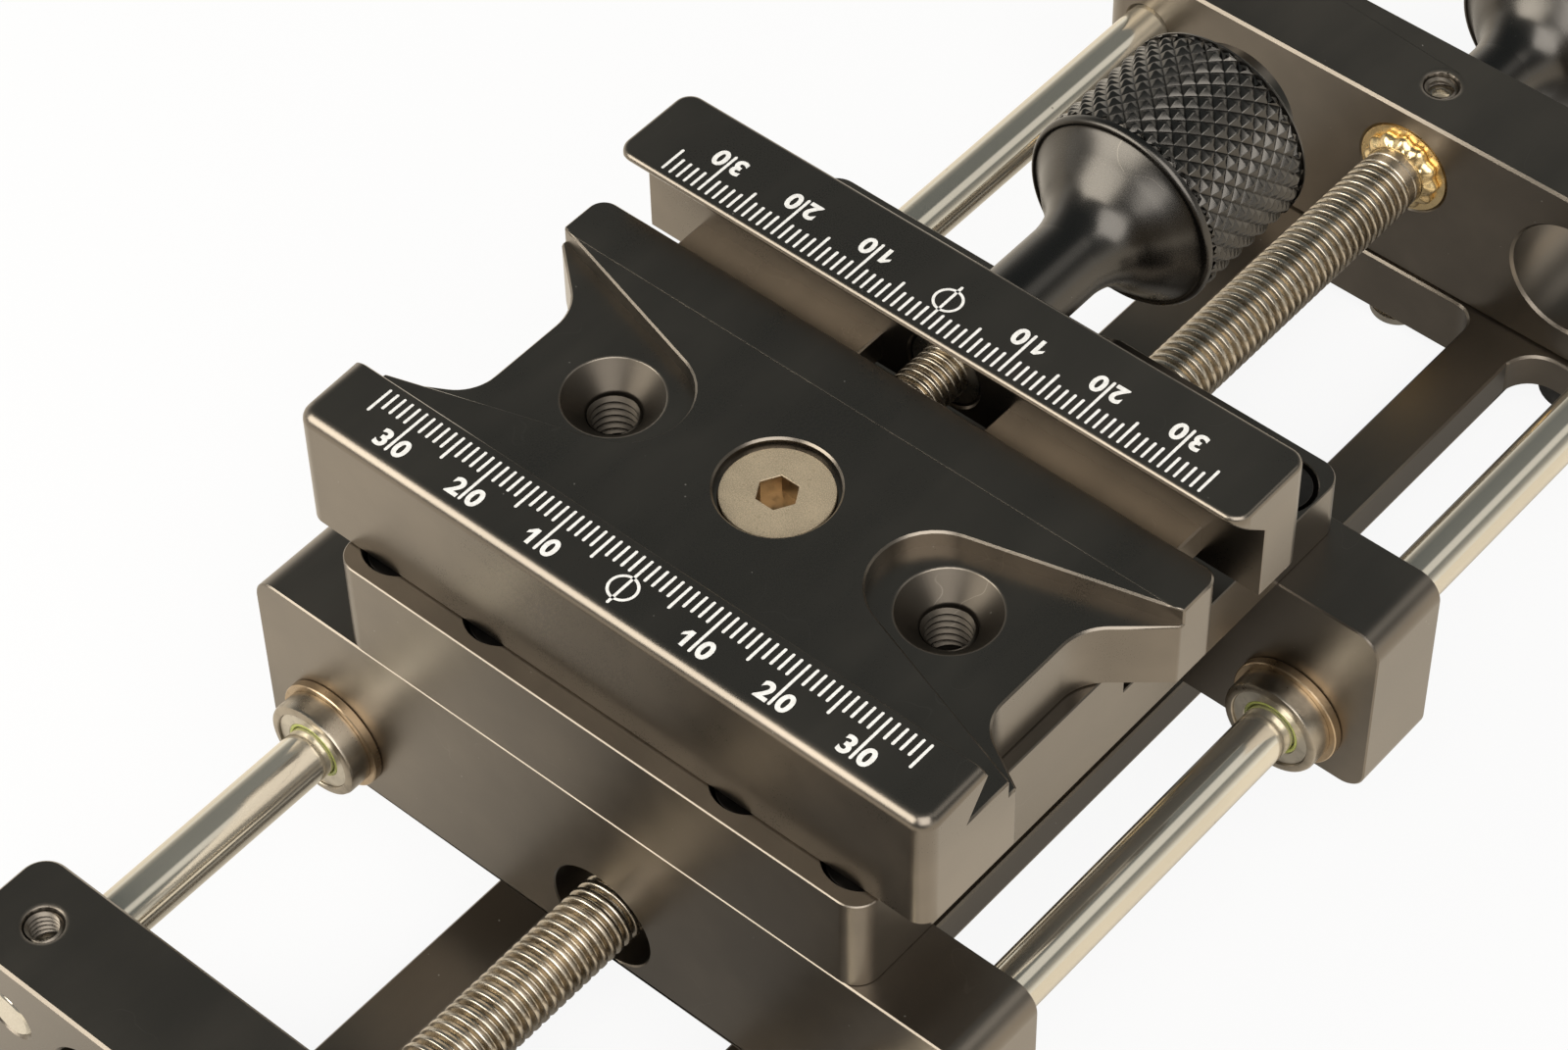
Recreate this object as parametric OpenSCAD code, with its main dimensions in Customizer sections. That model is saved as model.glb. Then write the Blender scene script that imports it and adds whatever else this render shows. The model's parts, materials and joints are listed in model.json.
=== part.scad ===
// Macro focusing rail: a screw-driven carriage on two guide rods, carrying a
// dovetail clamp. X runs across the rail, Y along it, Z is up.
// The origin is the mouth of the large tripod socket under the base plate.

/* [Rail] */
// Length over the outer faces of the two end blocks
rail_len = 203; // [190:1:300]
// Distance from the rod axes to the ends of the bearing blocks
rod_edge = 10; // [9:0.1:12]
// Diameter of the guide rods
rod_d = 6; // [5:0.5:6.5]
// Height of the rods and of the lead screw above the underside of the base plate
axis_h = 24.9; // [24:0.1:30]
// Place of the middle of the carriage along the rail
carriage_y = -14.15; // [-30:0.05:15]

/* [Base plate] */
// Width of the base plate between the end blocks
plate_w = 40.6; // [39:0.2:44]
// Thickness of the base plate above its dovetail foot
plate_t = 5; // [4:0.2:7]
// Height of the dovetail foot
foot_h = 3.6; // [3:0.1:4.5]
// Width of the dovetail foot at its underside
foot_w = 38; // [36:0.5:39]
// Width of the dovetail foot at its neck
foot_neck_w = 33; // [30:0.5:34]
// Width of the two windows
window_w = 26; // [20:0.5:27]
// Corner radius of the windows
window_r = 3; // [1:0.5:5]
// Length of the web that carries the tripod sockets
web_len = 36; // [34:1:50]
// Distance from the large tripod socket to each small one
socket_gap = 12; // [10:0.5:14]

/* [End blocks] */
// How far the end blocks stand back from the ends of the bearing blocks
end_inset = 3.2; // [0:0.1:6]
// Thickness of the end blocks along the rail
end_t = 13.1; // [12:0.1:16]
// Height of the end blocks
end_h = 25.1; // [24.5:0.1:32]
// Plan corner radius of the end blocks
end_r = 3; // [1:0.5:4]
// Radius of the lightening holes
light_r = 7.9; // [5:0.1:8]
// Distance from the rod axes to the middles of the lightening holes
light_in = 14.2; // [13:0.1:16]
// Height of the lightening holes below the rod axes
light_drop = 3.7; // [2:0.1:4]
// Radius of the rubber feet
pad_foot_r = 5; // [3:0.5:6]
// How far the rubber feet stand below the dovetail foot
pad_foot_drop = 1.5; // [1.3:0.1:3]

/* [Lead screw] */
// Outside diameter of the lead screw thread
lead_d = 8; // [7:0.5:9]
// Diameter of the plain journals at its ends
lead_journal_d = 6; // [5:0.5:6.5]
// Thickness of the brass lock ring
ring_t = 1.6; // [1.2:0.1:2.5]
// Radius of the brass lock ring
ring_r = 5.2; // [4.8:0.1:6]

/* [Carriage] */
// Length of the top plate
pad_len = 78.9; // [76:0.1:90]
// Width of the top plate
pad_w = 70; // [68:0.5:76]
// Thickness of the top plate under the clamp
pad_t = 13; // [11:0.1:16]
// Depth of the step at the back of the top plate
pad_step = 5.3; // [4.5:0.1:6]
// Length of the stepped back part of the top plate
pad_step_len = 37.8; // [34:0.1:40]
// Width of the bearing blocks
block_w = 96.4; // [88:0.2:110]
// Thickness of the bearing blocks along the rail
block_t = 11.2; // [10.5:0.1:11.4]
// Height of the bearing blocks
block_h = 25; // [24:0.1:30]
// Height from the rod axes to the top of the bearing blocks
block_rise = 18.1; // [17:0.1:20]
// Corner radius at the ends of the bearing blocks
block_r = 3; // [1:0.5:4]
// Radius of the hole that lets the lead screw through the front block
screw_way_r = 6.6; // [6:0.1:7]

/* [Linear bearings] */
// Outside diameter of the linear bearings
bush_d = 12; // [11:0.5:13]
// Length of the linear bearings
bush_len = 19; // [18:0.5:21]
// Width of the retaining clips
clip_w = 1.1; // [0.8:0.1:1.4]
// Outside radius of the retaining clips
clip_r = 6.75; // [6.5:0.05:8]

/* [Clamp] */
// Length of both jaws, across the rail
jaw_len = 81.6; // [78:0.2:90]
// Height of the clamp body
clamp_h = 16; // [15:0.1:18]
// Depth of the clamp body, along the rail
clamp_depth = 45.6; // [44:0.1:48]
// Setback of the clamp body from the front edge of the top plate
clamp_setback = 2.6; // [2:0.1:4]
// Depth of the fixed jaw at its lip
jaw_depth = 9.1; // [8.5:0.1:11]
// Depth of the dovetail floor below the jaw tops
floor_drop = 5.2; // [4.8:0.1:5.5]
// How far the dovetail undercuts each lip
undercut = 2.7; // [2:0.1:4]
// Depth of the pocket floors below the jaw tops
pocket_drop = 7.3; // [6.5:0.1:8]
// Width of the waist between the scalloped ends
waist_w = 66.8; // [64:0.2:70]
// Sideways place of the countersunk accessory holes
acc_x = 22.1; // [20:0.1:24]
// Place of the accessory holes and centre screw behind the body's front face
acc_y = 26.45; // [25:0.05:28]
// Radius of the tapped accessory holes
acc_r = 2.5; // [2:0.1:3]
// Gap between the clamp body and the moving jaw as set
jaw_open = 7.1; // [6.5:0.1:8]
// Depth of the moving jaw at its top
mjaw_depth = 11.6; // [10:0.1:14]
// Height of the moving jaw
mjaw_h = 15; // [14:0.1:15.5]
// Distance of the jaw lips over the block of the moving jaw
mjaw_lip = 4.7; // [3:0.1:6]
// Furthest closing travel of the moving jaw
jaw_close = 6; // [3:0.5:6.4]
// Depth of the clamp screw axis below the jaw tops
clamp_axis = 10; // [9.5:0.1:11]
// Diameter of the clamp screw
clamp_screw_d = 6; // [5:0.5:6]

/* [Knobs] */
// Radius of both knobs
knob_r = 12; // [9:0.5:12.5]
// Radius of the knob stems
stem_r = 4.6; // [4:0.1:5.5]
// Length of the plain stem of the clamp knob
stem_len = 12.7; // [12:0.1:16]
// Length of the plain stem of the focus knob
focus_stem_len = 6.8; // [5:0.1:12]
// Radius of the rounded bell
bell_r = 6; // [5:0.1:6.5]
// Length of the knurled grip
grip_len = 16.2; // [14:0.1:22]

/* [Hidden] */
$fn = 48;

// Clearances between pieces, on the radius for round ones
running_gap = 0.05;
seat_gap = 0.02;
slide_gap = 0.15;
bolt_gap = 0.3;
// Extra reach of a cutter past the face that it cuts
cut = 1;

// Places across the rail
rod_gap = block_w - 2 * rod_edge;
end_w = block_w - 2 * end_inset;
light_x = rod_gap / 2 - light_in;

// Heights
plate_top = foot_h + plate_t;
end_top = plate_top + end_h;
block_top = axis_h + block_rise;
pad_top = block_top + pad_t;
pad_low_top = pad_top - pad_step;
jaw_top = pad_top + clamp_h;
floor_z = jaw_top - floor_drop;
pocket_z = jaw_top - pocket_drop;
clamp_z = jaw_top - clamp_axis;

// Places along the rail
end_out = rail_len / 2;
end_in = end_out - end_t;
end_mid = end_out - end_t / 2;
pad_y0 = carriage_y - pad_len / 2;
pad_y1 = carriage_y + pad_len / 2;
front_mid = pad_y0 + block_t / 2;
rear_mid = pad_y1 - block_t / 2;
step_y = pad_y1 - pad_step_len;
clamp_y0 = pad_y0 + clamp_setback;
clamp_y1 = clamp_y0 + clamp_depth;
lip_y = clamp_y0 + jaw_depth;
acc_line = clamp_y0 + acc_y;
mjaw_y0 = clamp_y1 + jaw_open;
mlip_y = mjaw_y0 - mjaw_lip;
mjaw_y1 = mlip_y + mjaw_depth;

// Metric screw sizes, as radii and lengths
m3_r = 1.5;
m3_head_r = 2.75;
m3_head_h = 2;
m4_r = 2;
m4_head_r = 3.5;
m4_head_h = 4;
m4_socket = 1.5;
m6_r = 3;
set_len = 4;
short_set_len = 2.2;

// Base plate details
flange_len = end_t + 0.9;
flange_r = end_r;
inner_fillet = 4.5;
socket_large_r = 4;
socket_small_r = 2.55;
base_screw_x = end_w / 2 - 12;
base_screw_len = 12;
feet_x = 24.5;
foot_mid = end_mid - 0.4;
stop_y = end_in + 2.6;
stop_head_r = 3.4;
stop_head_h = 1;
stop_len = 6;

// Lead screw details
lead_z = axis_h;
screw_bearing_r = 6;
knob_face_gap = 0.4;
focus_y0 = end_out + knob_face_gap;
lead_y0 = -end_in + 0.5;
lead_y1 = end_in - ring_t;
nut_r = 6.5;
nut_flange_r = 10;
nut_flange_t = 3;
nut_screw_x = 8.4;
nut_screw_len = 8;

// Top plate details
plate_screw_x = [16.4, 30.6];
plate_screw_bore_r = 4;
pad_r = 2.8;
front_bore_depth = 5;
rear_bore_depth = 4.2;
plate_screw_grip = 8;
knob_relief_gap = 0.5;

// Clamp details
lip_t = 0.8;
corner_r = 2;
scallop_y0 = 13.64;
scallop_arc_r = [5, 6];
scallop_arc_y = [20.8, 30.1];
scallop_arc_end = [240, 130];
pocket_arc = [20.3, 26.6];
pocket_arc_r = 7;
pocket_arc_from = 105.6;
pocket_arc_to = 252;
pocket_rear_slope = 0.28;
pocket_front_slope = -0.325;
centre_head_r = 5.95;
centre_bore_r = 6.5;
centre_head_drop = 6;
centre_rim = 0.5;
centre_socket = 4;
tongue_x0 = 8.3;
tongue_x1 = 33.3;
tongue_t = 4;
tongue_reach = 12;
screw_reach = 12.4;
pin_x = 23.5;
pin_r = 1.5;
pin_len = 9;
pin_setback = 4;

// Knob details
bell_angle = 75;
neck_r = (knob_r - stem_r) / (1 - cos(bell_angle)) - bell_r;
bell_len = (neck_r + bell_r) * sin(bell_angle);
band_len = 0.6;
rim_len = 0.5;
rim_cut = 0.5;
knob_bore_depth = 12;
washer_r = 4.4;
washer_t = 0.5;
clamp_knob_y0 = mjaw_y1 + washer_t + seat_gap;

BLACK = [0.08, 0.08, 0.08];
STEEL = [0.72, 0.70, 0.66];
DARKSTEEL = [0.5, 0.47, 0.42];
BRASS = [0.85, 0.65, 0.2];
BRONZE = [0.6, 0.45, 0.28];
RUBBER = [0.15, 0.15, 0.15];

// A rectangle with rounded corners, from one corner to the other
module round_rect(x0, y0, x1, y1, r) {
    translate([x0 + r, y0]) square([x1 - x0 - 2 * r, y1 - y0]);
    translate([x0, y0 + r]) square([x1 - x0, y1 - y0 - 2 * r]);
    for (x = [x0 + r, x1 - r], y = [y0 + r, y1 - r])
        translate([x, y]) circle(r);
}

// A slab with rounded plan corners between two heights
module slab(x0, y0, x1, y1, r, z0, z1) {
    translate([0, 0, z0]) linear_extrude(z1 - z0) round_rect(x0, y0, x1, y1, r);
}

// A block whose rounded corners run along Y
module block_along(x0, z0, x1, z1, r, y0, y1) {
    translate([0, y1, 0]) rotate([90, 0, 0]) linear_extrude(y1 - y0)
        round_rect(x0, z0, x1, z1, r);
}

// A cylinder along Y from y0 to y1
module rod_along(x, z, r, y0, y1) {
    translate([x, y0, z]) rotate([-90, 0, 0]) cylinder(h = y1 - y0, r = r);
}

// A cylinder along Z from z0 to z1
module post(x, y, r, z0, z1) {
    translate([x, y, z0]) cylinder(h = z1 - z0, r = r);
}

// A cone along Z
module cone(x, y, r0, r1, z0, z1) {
    translate([x, y, z0]) cylinder(h = z1 - z0, r1 = r0, r2 = r1);
}

// A six-sided socket along Z, given across its flats
module hex_socket(x, y, flats, z0, z1) {
    translate([x, y, z0]) cylinder(h = z1 - z0, r = flats / 2 / cos(30), $fn = 6);
}

function arc(cx, cy, r, a0, a1, n) =
    [for (i = [0:n]) let (a = a0 + (a1 - a0) * i / n) [cx + r * cos(a), cy + r * sin(a)]];

// ---------------------------------------------------------------- base

module plate_window(y0, y1) {
    slab(-window_w / 2, y0, window_w / 2, y1, window_r, -cut, plate_top + cut);
}

// Plan of the flange and of its fillets against the bars, at the far end
module flange_plan() {
    y0 = end_out - flange_len;
    round_rect(-end_w / 2, y0, end_w / 2, end_out, flange_r);
    for (side = [-1, 1]) {
        difference() {
            translate([side * plate_w / 2, y0 - inner_fillet + cut / 2])
                translate([side > 0 ? -cut : -inner_fillet, 0])
                    square([inner_fillet + cut, inner_fillet]);
            translate([side * (plate_w / 2 + inner_fillet), y0 - inner_fillet])
                circle(inner_fillet);
        }
    }
}

module plate_flanges() {
    for (turn = [0, 180])
        rotate([0, 0, turn]) translate([0, 0, foot_h]) linear_extrude(plate_t) flange_plan();
}

module base_plate() {
    color(BLACK) difference() {
        union() {
            plate_flanges();
            translate([-plate_w / 2, -end_in, foot_h]) cube([plate_w, 2 * end_in, plate_t]);
            translate([0, end_out - cut, 0]) rotate([90, 0, 0])
                linear_extrude(2 * (end_out - cut))
                    polygon([[-foot_w / 2, 0], [foot_w / 2, 0], [foot_neck_w / 2, foot_h],
                        [-foot_neck_w / 2, foot_h]]);
        }
        plate_window(web_len / 2, end_in - 0.5);
        plate_window(-end_in + 0.5, -web_len / 2);
        post(0, 0, socket_large_r, -cut, plate_top + cut);
        for (side = [-1, 1])
            post(0, side * socket_gap, socket_small_r, -cut, plate_top + cut);
        for (sx = [-1, 1], sy = [-1, 1]) {
            base_screw_hole(sx * base_screw_x, sy * end_mid);
            post(sx * feet_x, sy * foot_mid, m3_r + seat_gap, foot_h - cut, plate_top - 1);
        }
        for (sy = [-1, 1])
            post(0, sy * stop_y, m3_r + seat_gap, -cut, stop_len - m3_r);
    }
}

module base_screw_hole(x, y) {
    post(x, y, m4_r + bolt_gap, foot_h - cut, plate_top + cut);
    cone(x, y, m4_head_r + 0.5 + running_gap, m4_r + running_gap, foot_h, foot_h + 2.3);
}

module base_cap_screws() {
    color(STEEL) for (sx = [-1, 1], sy = [-1, 1]) difference() {
        union() {
            cone(sx * base_screw_x, sy * end_mid, m4_head_r + 0.5, m4_r, foot_h, foot_h + 2.3);
            post(sx * base_screw_x, sy * end_mid, m4_r, foot_h + 2.3, foot_h + base_screw_len);
        }
        hex_socket(sx * base_screw_x, sy * end_mid, 2.5, foot_h - cut, foot_h + 1.8);
    }
}

module stop_screws() {
    color(STEEL) for (sy = [-1, 1]) difference() {
        union() {
            post(0, sy * stop_y, stop_head_r, -stop_head_h, 0);
            post(0, sy * stop_y, m3_r, 0, stop_len - 2);
        }
        hex_socket(0, sy * stop_y, 2, -stop_head_h - cut, 0);
    }
}

module rubber_feet() {
    color(RUBBER) for (sx = [-1, 1], sy = [-1, 1]) {
        post(sx * feet_x, sy * foot_mid, pad_foot_r, -pad_foot_drop, foot_h);
        post(sx * feet_x, sy * foot_mid, m3_r, foot_h, plate_top - 1.2);
    }
}

// An end block, built at the far end; what is drilled at its middle differs
module end_block(turn, centre_set_screw) {
    rotate([0, 0, turn]) difference() {
        slab(-end_w / 2, end_in, end_w / 2, end_out, end_r, plate_top, end_top);
        for (sx = [-1, 1]) {
            rod_along(sx * rod_gap / 2, axis_h, rod_d / 2 + seat_gap, end_in - cut, end_out + cut);
            rod_along(sx * light_x, axis_h - light_drop, light_r, end_in - cut, end_out + cut);
            set_screw_hole(sx * rod_gap / 2, rod_d / 2);
            post(sx * base_screw_x, end_mid, m4_r + seat_gap,
                plate_top - cut, foot_h + base_screw_len + cut);
        }
        rod_along(0, lead_z, screw_bearing_r + seat_gap, end_in - cut, end_out + cut);
        if (centre_set_screw)
            set_screw_hole(0, screw_bearing_r);
    }
}

module set_screw_hole(x, seat_r) {
    post(x, end_mid, m4_r + seat_gap, axis_h + seat_r / 2, end_top + cut);
    cone(x, end_mid, m4_r, m4_r + 0.5, end_top - 0.5, end_top);
}

module near_end_block() { color(BLACK) end_block(180, false); }

module far_end_block() { color(BLACK) end_block(0, true); }

module set_screw(x, y, z0, len) {
    difference() {
        post(x, y, m4_r, z0, z0 + len);
        hex_socket(x, y, 2, z0 + len - m4_socket, z0 + len + cut);
    }
}

module rod_set_screws() {
    color(STEEL) for (sx = [-1, 1], sy = [-1, 1])
        set_screw(sx * rod_gap / 2, sy * end_mid, axis_h + rod_d / 2 + seat_gap, set_len);
}

module bearing_set_screw() {
    color(STEEL) set_screw(0, end_mid, lead_z + screw_bearing_r + seat_gap, short_set_len);
}

module guide_rod(side) {
    color(STEEL) rod_along(side * rod_gap / 2, axis_h, rod_d / 2, -end_out, end_out);
}

module left_rod() { guide_rod(-1); }

module right_rod() { guide_rod(1); }

module screw_bearing(y0, y1) {
    color(DARKSTEEL) difference() {
        rod_along(0, lead_z, screw_bearing_r, y0, y1);
        rod_along(0, lead_z, lead_journal_d / 2 + running_gap, y0 - cut, y1 + cut);
    }
}

module near_screw_bearing() { screw_bearing(-end_out, -end_in); }

module far_screw_bearing() { screw_bearing(end_in, end_out); }

// ---------------------------------------------------------------- lead screw

module lead_screw() {
    color(DARKSTEEL) {
        rod_along(0, lead_z, lead_journal_d / 2, -end_out + 1, lead_y0);
        rod_along(0, lead_z, lead_d / 2, lead_y0, lead_y1);
        rod_along(0, lead_z, lead_journal_d / 2, lead_y1, focus_y0 + knob_bore_depth);
    }
}

module lock_ring() {
    color(BRASS) difference() {
        rod_along(0, lead_z, ring_r, lead_y1, end_in - running_gap);
        rod_along(0, lead_z, lead_journal_d / 2 + seat_gap, lead_y1 - cut, end_in + cut);
    }
}

// Half section of a knob: stem, hollow neck, round bell, grip and rim
function knob_profile(stem) = concat(
    [[0, 0], [stem_r - 0.3, 0], [stem_r, 0.3]],
    arc(stem_r + neck_r, stem, neck_r, 180, 180 - bell_angle, 8),
    arc(knob_r - bell_r, stem + bell_len, bell_r, -bell_angle, 0, 10),
    [[knob_r, stem + bell_len + band_len + grip_len],
        [knob_r - rim_cut, stem + bell_len + band_len + grip_len + rim_len],
        [0, stem + bell_len + band_len + grip_len + rim_len]]);

module knob(y0, z, stem, bore_r) {
    translate([0, y0, z]) rotate([-90, 0, 0]) difference() {
        rotate_extrude($fn = 64) polygon(knob_profile(stem));
        translate([0, 0, -cut]) cylinder(h = knob_bore_depth + 0.5 + cut, r = bore_r + seat_gap);
        translate([0, 0, stem / 2]) rotate([-90, 0, 0]) cylinder(h = stem_r + cut, r = m3_r + seat_gap);
    }
}

module focus_knob() {
    color(BLACK) knob(focus_y0, lead_z, focus_stem_len, lead_journal_d / 2);
}

// A set screw through the stem of a knob, from the underside
module stem_screw(y, z, shaft_r) {
    post(0, y, m3_r, z - stem_r + 0.3, z - shaft_r - seat_gap);
}

module focus_knob_screw() {
    color(STEEL) stem_screw(focus_y0 + focus_stem_len / 2, lead_z, lead_journal_d / 2);
}

// ---------------------------------------------------------------- carriage

module bearing_block(mid, bore_r) {
    y0 = mid - block_t / 2;
    y1 = mid + block_t / 2;
    difference() {
        block_along(-block_w / 2, block_top - block_h, block_w / 2, block_top, block_r, y0, y1);
        for (sx = [-1, 1]) {
            rod_along(sx * rod_gap / 2, axis_h, bush_d / 2 + seat_gap, y0 - cut, y1 + cut);
            for (x = plate_screw_x)
                post(sx * x, mid, m4_r + seat_gap, block_top - plate_screw_grip - cut, block_top + cut);
        }
        rod_along(0, lead_z, bore_r, y0 - cut, y1 + cut);
    }
}

module front_block() { color(BLACK) bearing_block(front_mid, screw_way_r); }

module rear_block() {
    color(BLACK) difference() {
        bearing_block(rear_mid, nut_r + seat_gap);
        for (sx = [-1, 1])
            rod_along(sx * nut_screw_x, lead_z, m3_r + seat_gap, rear_mid - block_t / 2 - cut,
                rear_mid - block_t / 2 + nut_screw_len);
    }
}

clip_in_y = block_t / 2 + seat_gap;
clip_root_r = bush_d / 2 - 0.3;

// Place of the clip groove on either side of a bearing block
module clip_ring(x, mid, side, r_out, r_in) {
    y0 = side > 0 ? mid + clip_in_y : mid - clip_in_y - clip_w;
    difference() {
        rod_along(x, axis_h, r_out, y0, y0 + clip_w);
        rod_along(x, axis_h, r_in, y0 - cut, y0 + clip_w + cut);
    }
}

module linear_bearing(x, mid) {
    color(DARKSTEEL) difference() {
        rod_along(x, axis_h, bush_d / 2, mid - bush_len / 2, mid + bush_len / 2);
        rod_along(x, axis_h, rod_d / 2 + running_gap, mid - bush_len / 2 - cut, mid + bush_len / 2 + cut);
        for (side = [-1, 1])
            clip_ring(x, mid, side, bush_d / 2 + cut, clip_root_r);
    }
}

// Two open retaining clips; the gap of each is at the underside
module clips(x, mid) {
    color(BRONZE) for (side = [-1, 1]) difference() {
        clip_ring(x, mid, side, clip_r, clip_root_r + seat_gap);
        translate([x - 1.5, mid - bush_len, axis_h - clip_r - cut]) cube([3, 2 * bush_len, clip_r + cut]);
    }
}

module front_left_bearing() { linear_bearing(-rod_gap / 2, front_mid); }

module front_right_bearing() { linear_bearing(rod_gap / 2, front_mid); }

module rear_left_bearing() { linear_bearing(-rod_gap / 2, rear_mid); }

module rear_right_bearing() { linear_bearing(rod_gap / 2, rear_mid); }

module front_left_clips() { clips(-rod_gap / 2, front_mid); }

module front_right_clips() { clips(rod_gap / 2, front_mid); }

module rear_left_clips() { clips(-rod_gap / 2, rear_mid); }

module rear_right_clips() { clips(rod_gap / 2, rear_mid); }

nut_face_y = rear_mid - block_t / 2;

module lead_nut() {
    color(BRASS) difference() {
        union() {
            rod_along(0, lead_z, nut_r, nut_face_y, rear_mid + block_t / 2);
            intersection() {
                rod_along(0, lead_z, nut_flange_r, nut_face_y - nut_flange_t, nut_face_y);
                translate([-nut_flange_r - cut, nut_face_y - nut_flange_t - cut, block_top - block_h])
                    cube([2 * nut_flange_r + 2 * cut, nut_flange_t + 2 * cut, block_h]);
            }
        }
        rod_along(0, lead_z, lead_d / 2 + running_gap, nut_face_y - nut_flange_t - cut,
            rear_mid + block_t / 2 + cut);
        for (sx = [-1, 1])
            rod_along(sx * nut_screw_x, lead_z, m3_r + seat_gap, nut_face_y - nut_flange_t - cut,
                nut_face_y + cut);
    }
}

module nut_screws() {
    color(STEEL) for (sx = [-1, 1]) {
        y0 = nut_face_y - nut_flange_t;
        rod_along(sx * nut_screw_x, lead_z, m3_head_r, y0 - m3_head_h, y0);
        rod_along(sx * nut_screw_x, lead_z, m3_r, y0, nut_face_y + nut_screw_len - 0.5);
    }
}

// ---------------------------------------------------------------- top plate

module plate_screw_hole(x, y, top, depth) {
    post(x, y, m4_r + bolt_gap, block_top - cut, top + cut);
    post(x, y, plate_screw_bore_r, top - depth, top + cut);
}

module top_plate() {
    color(BLACK) difference() {
        slab(-pad_w / 2, pad_y0, pad_w / 2, pad_y1, pad_r, block_top, pad_top);
        translate([-pad_w / 2 - cut, step_y, pad_low_top])
            cube([pad_w + 2 * cut, pad_step_len + cut, pad_step + cut]);
        for (sx = [-1, 1], x = plate_screw_x) {
            plate_screw_hole(sx * x, front_mid, pad_top, front_bore_depth);
            plate_screw_hole(sx * x, rear_mid, pad_low_top, rear_bore_depth);
        }
        post(0, acc_line, m6_r + seat_gap, block_top - cut, pad_top + cut);
        for (sx = [-1, 1])
            post(sx * pin_x, clamp_y0 + pin_setback, pin_r + seat_gap, pad_top - pin_len / 2 - 0.2, pad_top + cut);
        // room for the bell of the clamp knob when the jaw is closed
        rod_along(0, clamp_z, knob_r + knob_relief_gap, mjaw_y1 + stem_len - jaw_close, pad_y1 + cut);
    }
}

module plate_screws(y, head_z) {
    color(STEEL) for (sx = [-1, 1], x = plate_screw_x) difference() {
        union() {
            post(sx * x, y, m4_head_r, head_z, head_z + m4_head_h);
            post(sx * x, y, m4_r, block_top - plate_screw_grip, head_z);
        }
        hex_socket(sx * x, y, 3, head_z + m4_head_h - 2, head_z + m4_head_h + cut);
    }
}

module front_plate_screws() { plate_screws(front_mid, pad_top - front_bore_depth); }

module rear_plate_screws() { plate_screws(rear_mid, pad_low_top - rear_bore_depth); }

// ---------------------------------------------------------------- clamp

// Side section of the clamp body: fixed jaw, floor and rear bar
module clamp_section() {
    polygon([[clamp_y0, pad_top], [clamp_y1, pad_top], [clamp_y1, floor_z],
        [lip_y - undercut, floor_z], [lip_y, jaw_top - lip_t], [lip_y, jaw_top],
        [clamp_y0, jaw_top]]);
}

// What the scalloped end removes, on the +X side
module scallop() {
    x0 = waist_w / 2;
    out = jaw_len / 2 + 2 * cut;
    r = scallop_arc_r;
    a = scallop_arc_end;
    p = [for (i = [0, 1]) [x0 + r[i] + r[i] * cos(a[i]), clamp_y0 + scallop_arc_y[i] + r[i] * sin(a[i])]];
    run = [for (i = [0, 1]) (out - p[i][0]) / abs(sin(a[i])) * abs(cos(a[i]))];
    for (i = [0, 1])
        translate([x0 + r[i], clamp_y0 + scallop_arc_y[i]]) circle(r[i]);
    translate([x0, clamp_y0 + scallop_arc_y[0]])
        square([out - x0, scallop_arc_y[1] - scallop_arc_y[0]]);
    polygon([p[0], [out, p[0][1] - run[0]], [out, p[1][1] + run[1]], p[1],
        [x0 + r[1], clamp_y0 + scallop_arc_y[1]], [x0 + r[0], clamp_y0 + scallop_arc_y[0]]]);
}

// Outline of a pocket, on the +X side
module pocket() {
    out = jaw_len / 2 + 2 * cut;
    cy = clamp_y0 + pocket_arc[1];
    edge = arc(pocket_arc[0], cy, pocket_arc_r, pocket_arc_from, pocket_arc_to, 16);
    top = edge[0];
    end = edge[16];
    polygon(concat(edge, [[out, end[1] + pocket_front_slope * (out - end[0])],
        [out, top[1] + pocket_rear_slope * (out - top[0])]]));
}

module sided() {
    for (side = [0, 1]) mirror([side, 0, 0]) children();
}

module clamp_body() {
    color(BLACK) difference() {
        intersection() {
            translate([-jaw_len / 2, 0, 0]) rotate([90, 0, 90]) linear_extrude(jaw_len) clamp_section();
            slab(-jaw_len / 2, clamp_y0, jaw_len / 2, clamp_y1, corner_r, pad_top - cut, jaw_top + cut);
        }
        sided() translate([0, 0, pad_top - cut]) linear_extrude(floor_z - pad_top + 2 * cut) scallop();
        sided() translate([0, 0, pocket_z]) linear_extrude(floor_z - pocket_z + 0.01)
            intersection() {
                pocket();
                translate([0, lip_y - undercut]) square([jaw_len, clamp_depth]);
            }
        for (sx = [-1, 1]) {
            post(sx * acc_x, acc_line, acc_r, pad_top - cut, pocket_z + cut);
            cone(sx * acc_x, acc_line, acc_r, 5.6, pocket_z - 3.1, pocket_z);
            post(sx * pin_x, clamp_y0 + pin_setback, pin_r + seat_gap, pad_top - cut, pad_top + pin_len / 2 + 0.2);
            jaw_slot(sx);
        }
        post(0, acc_line, m6_r + bolt_gap, pad_top - cut, floor_z + cut);
        post(0, acc_line, centre_bore_r, centre_seat_z, floor_z + cut);
        cone(0, acc_line, m6_r + seat_gap, centre_head_r + seat_gap, centre_seat_z - centre_cone, centre_seat_z);
        rod_along(0, clamp_z, clamp_screw_d / 2 + running_gap, clamp_y1 - screw_reach, clamp_y1 + cut);
    }
}

centre_top_z = jaw_top - centre_head_drop;
centre_seat_z = centre_top_z - centre_rim;
centre_cone = centre_head_r - m6_r;

// The slot that a tongue of the moving jaw slides in
module jaw_slot(side) {
    x0 = side > 0 ? tongue_x0 - slide_gap : -tongue_x1 - slide_gap;
    translate([x0, clamp_y1 - tongue_reach, clamp_z - tongue_t - slide_gap])
        cube([tongue_x1 - tongue_x0 + 2 * slide_gap, tongue_reach + cut, tongue_t + 2 * slide_gap]);
}

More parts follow.
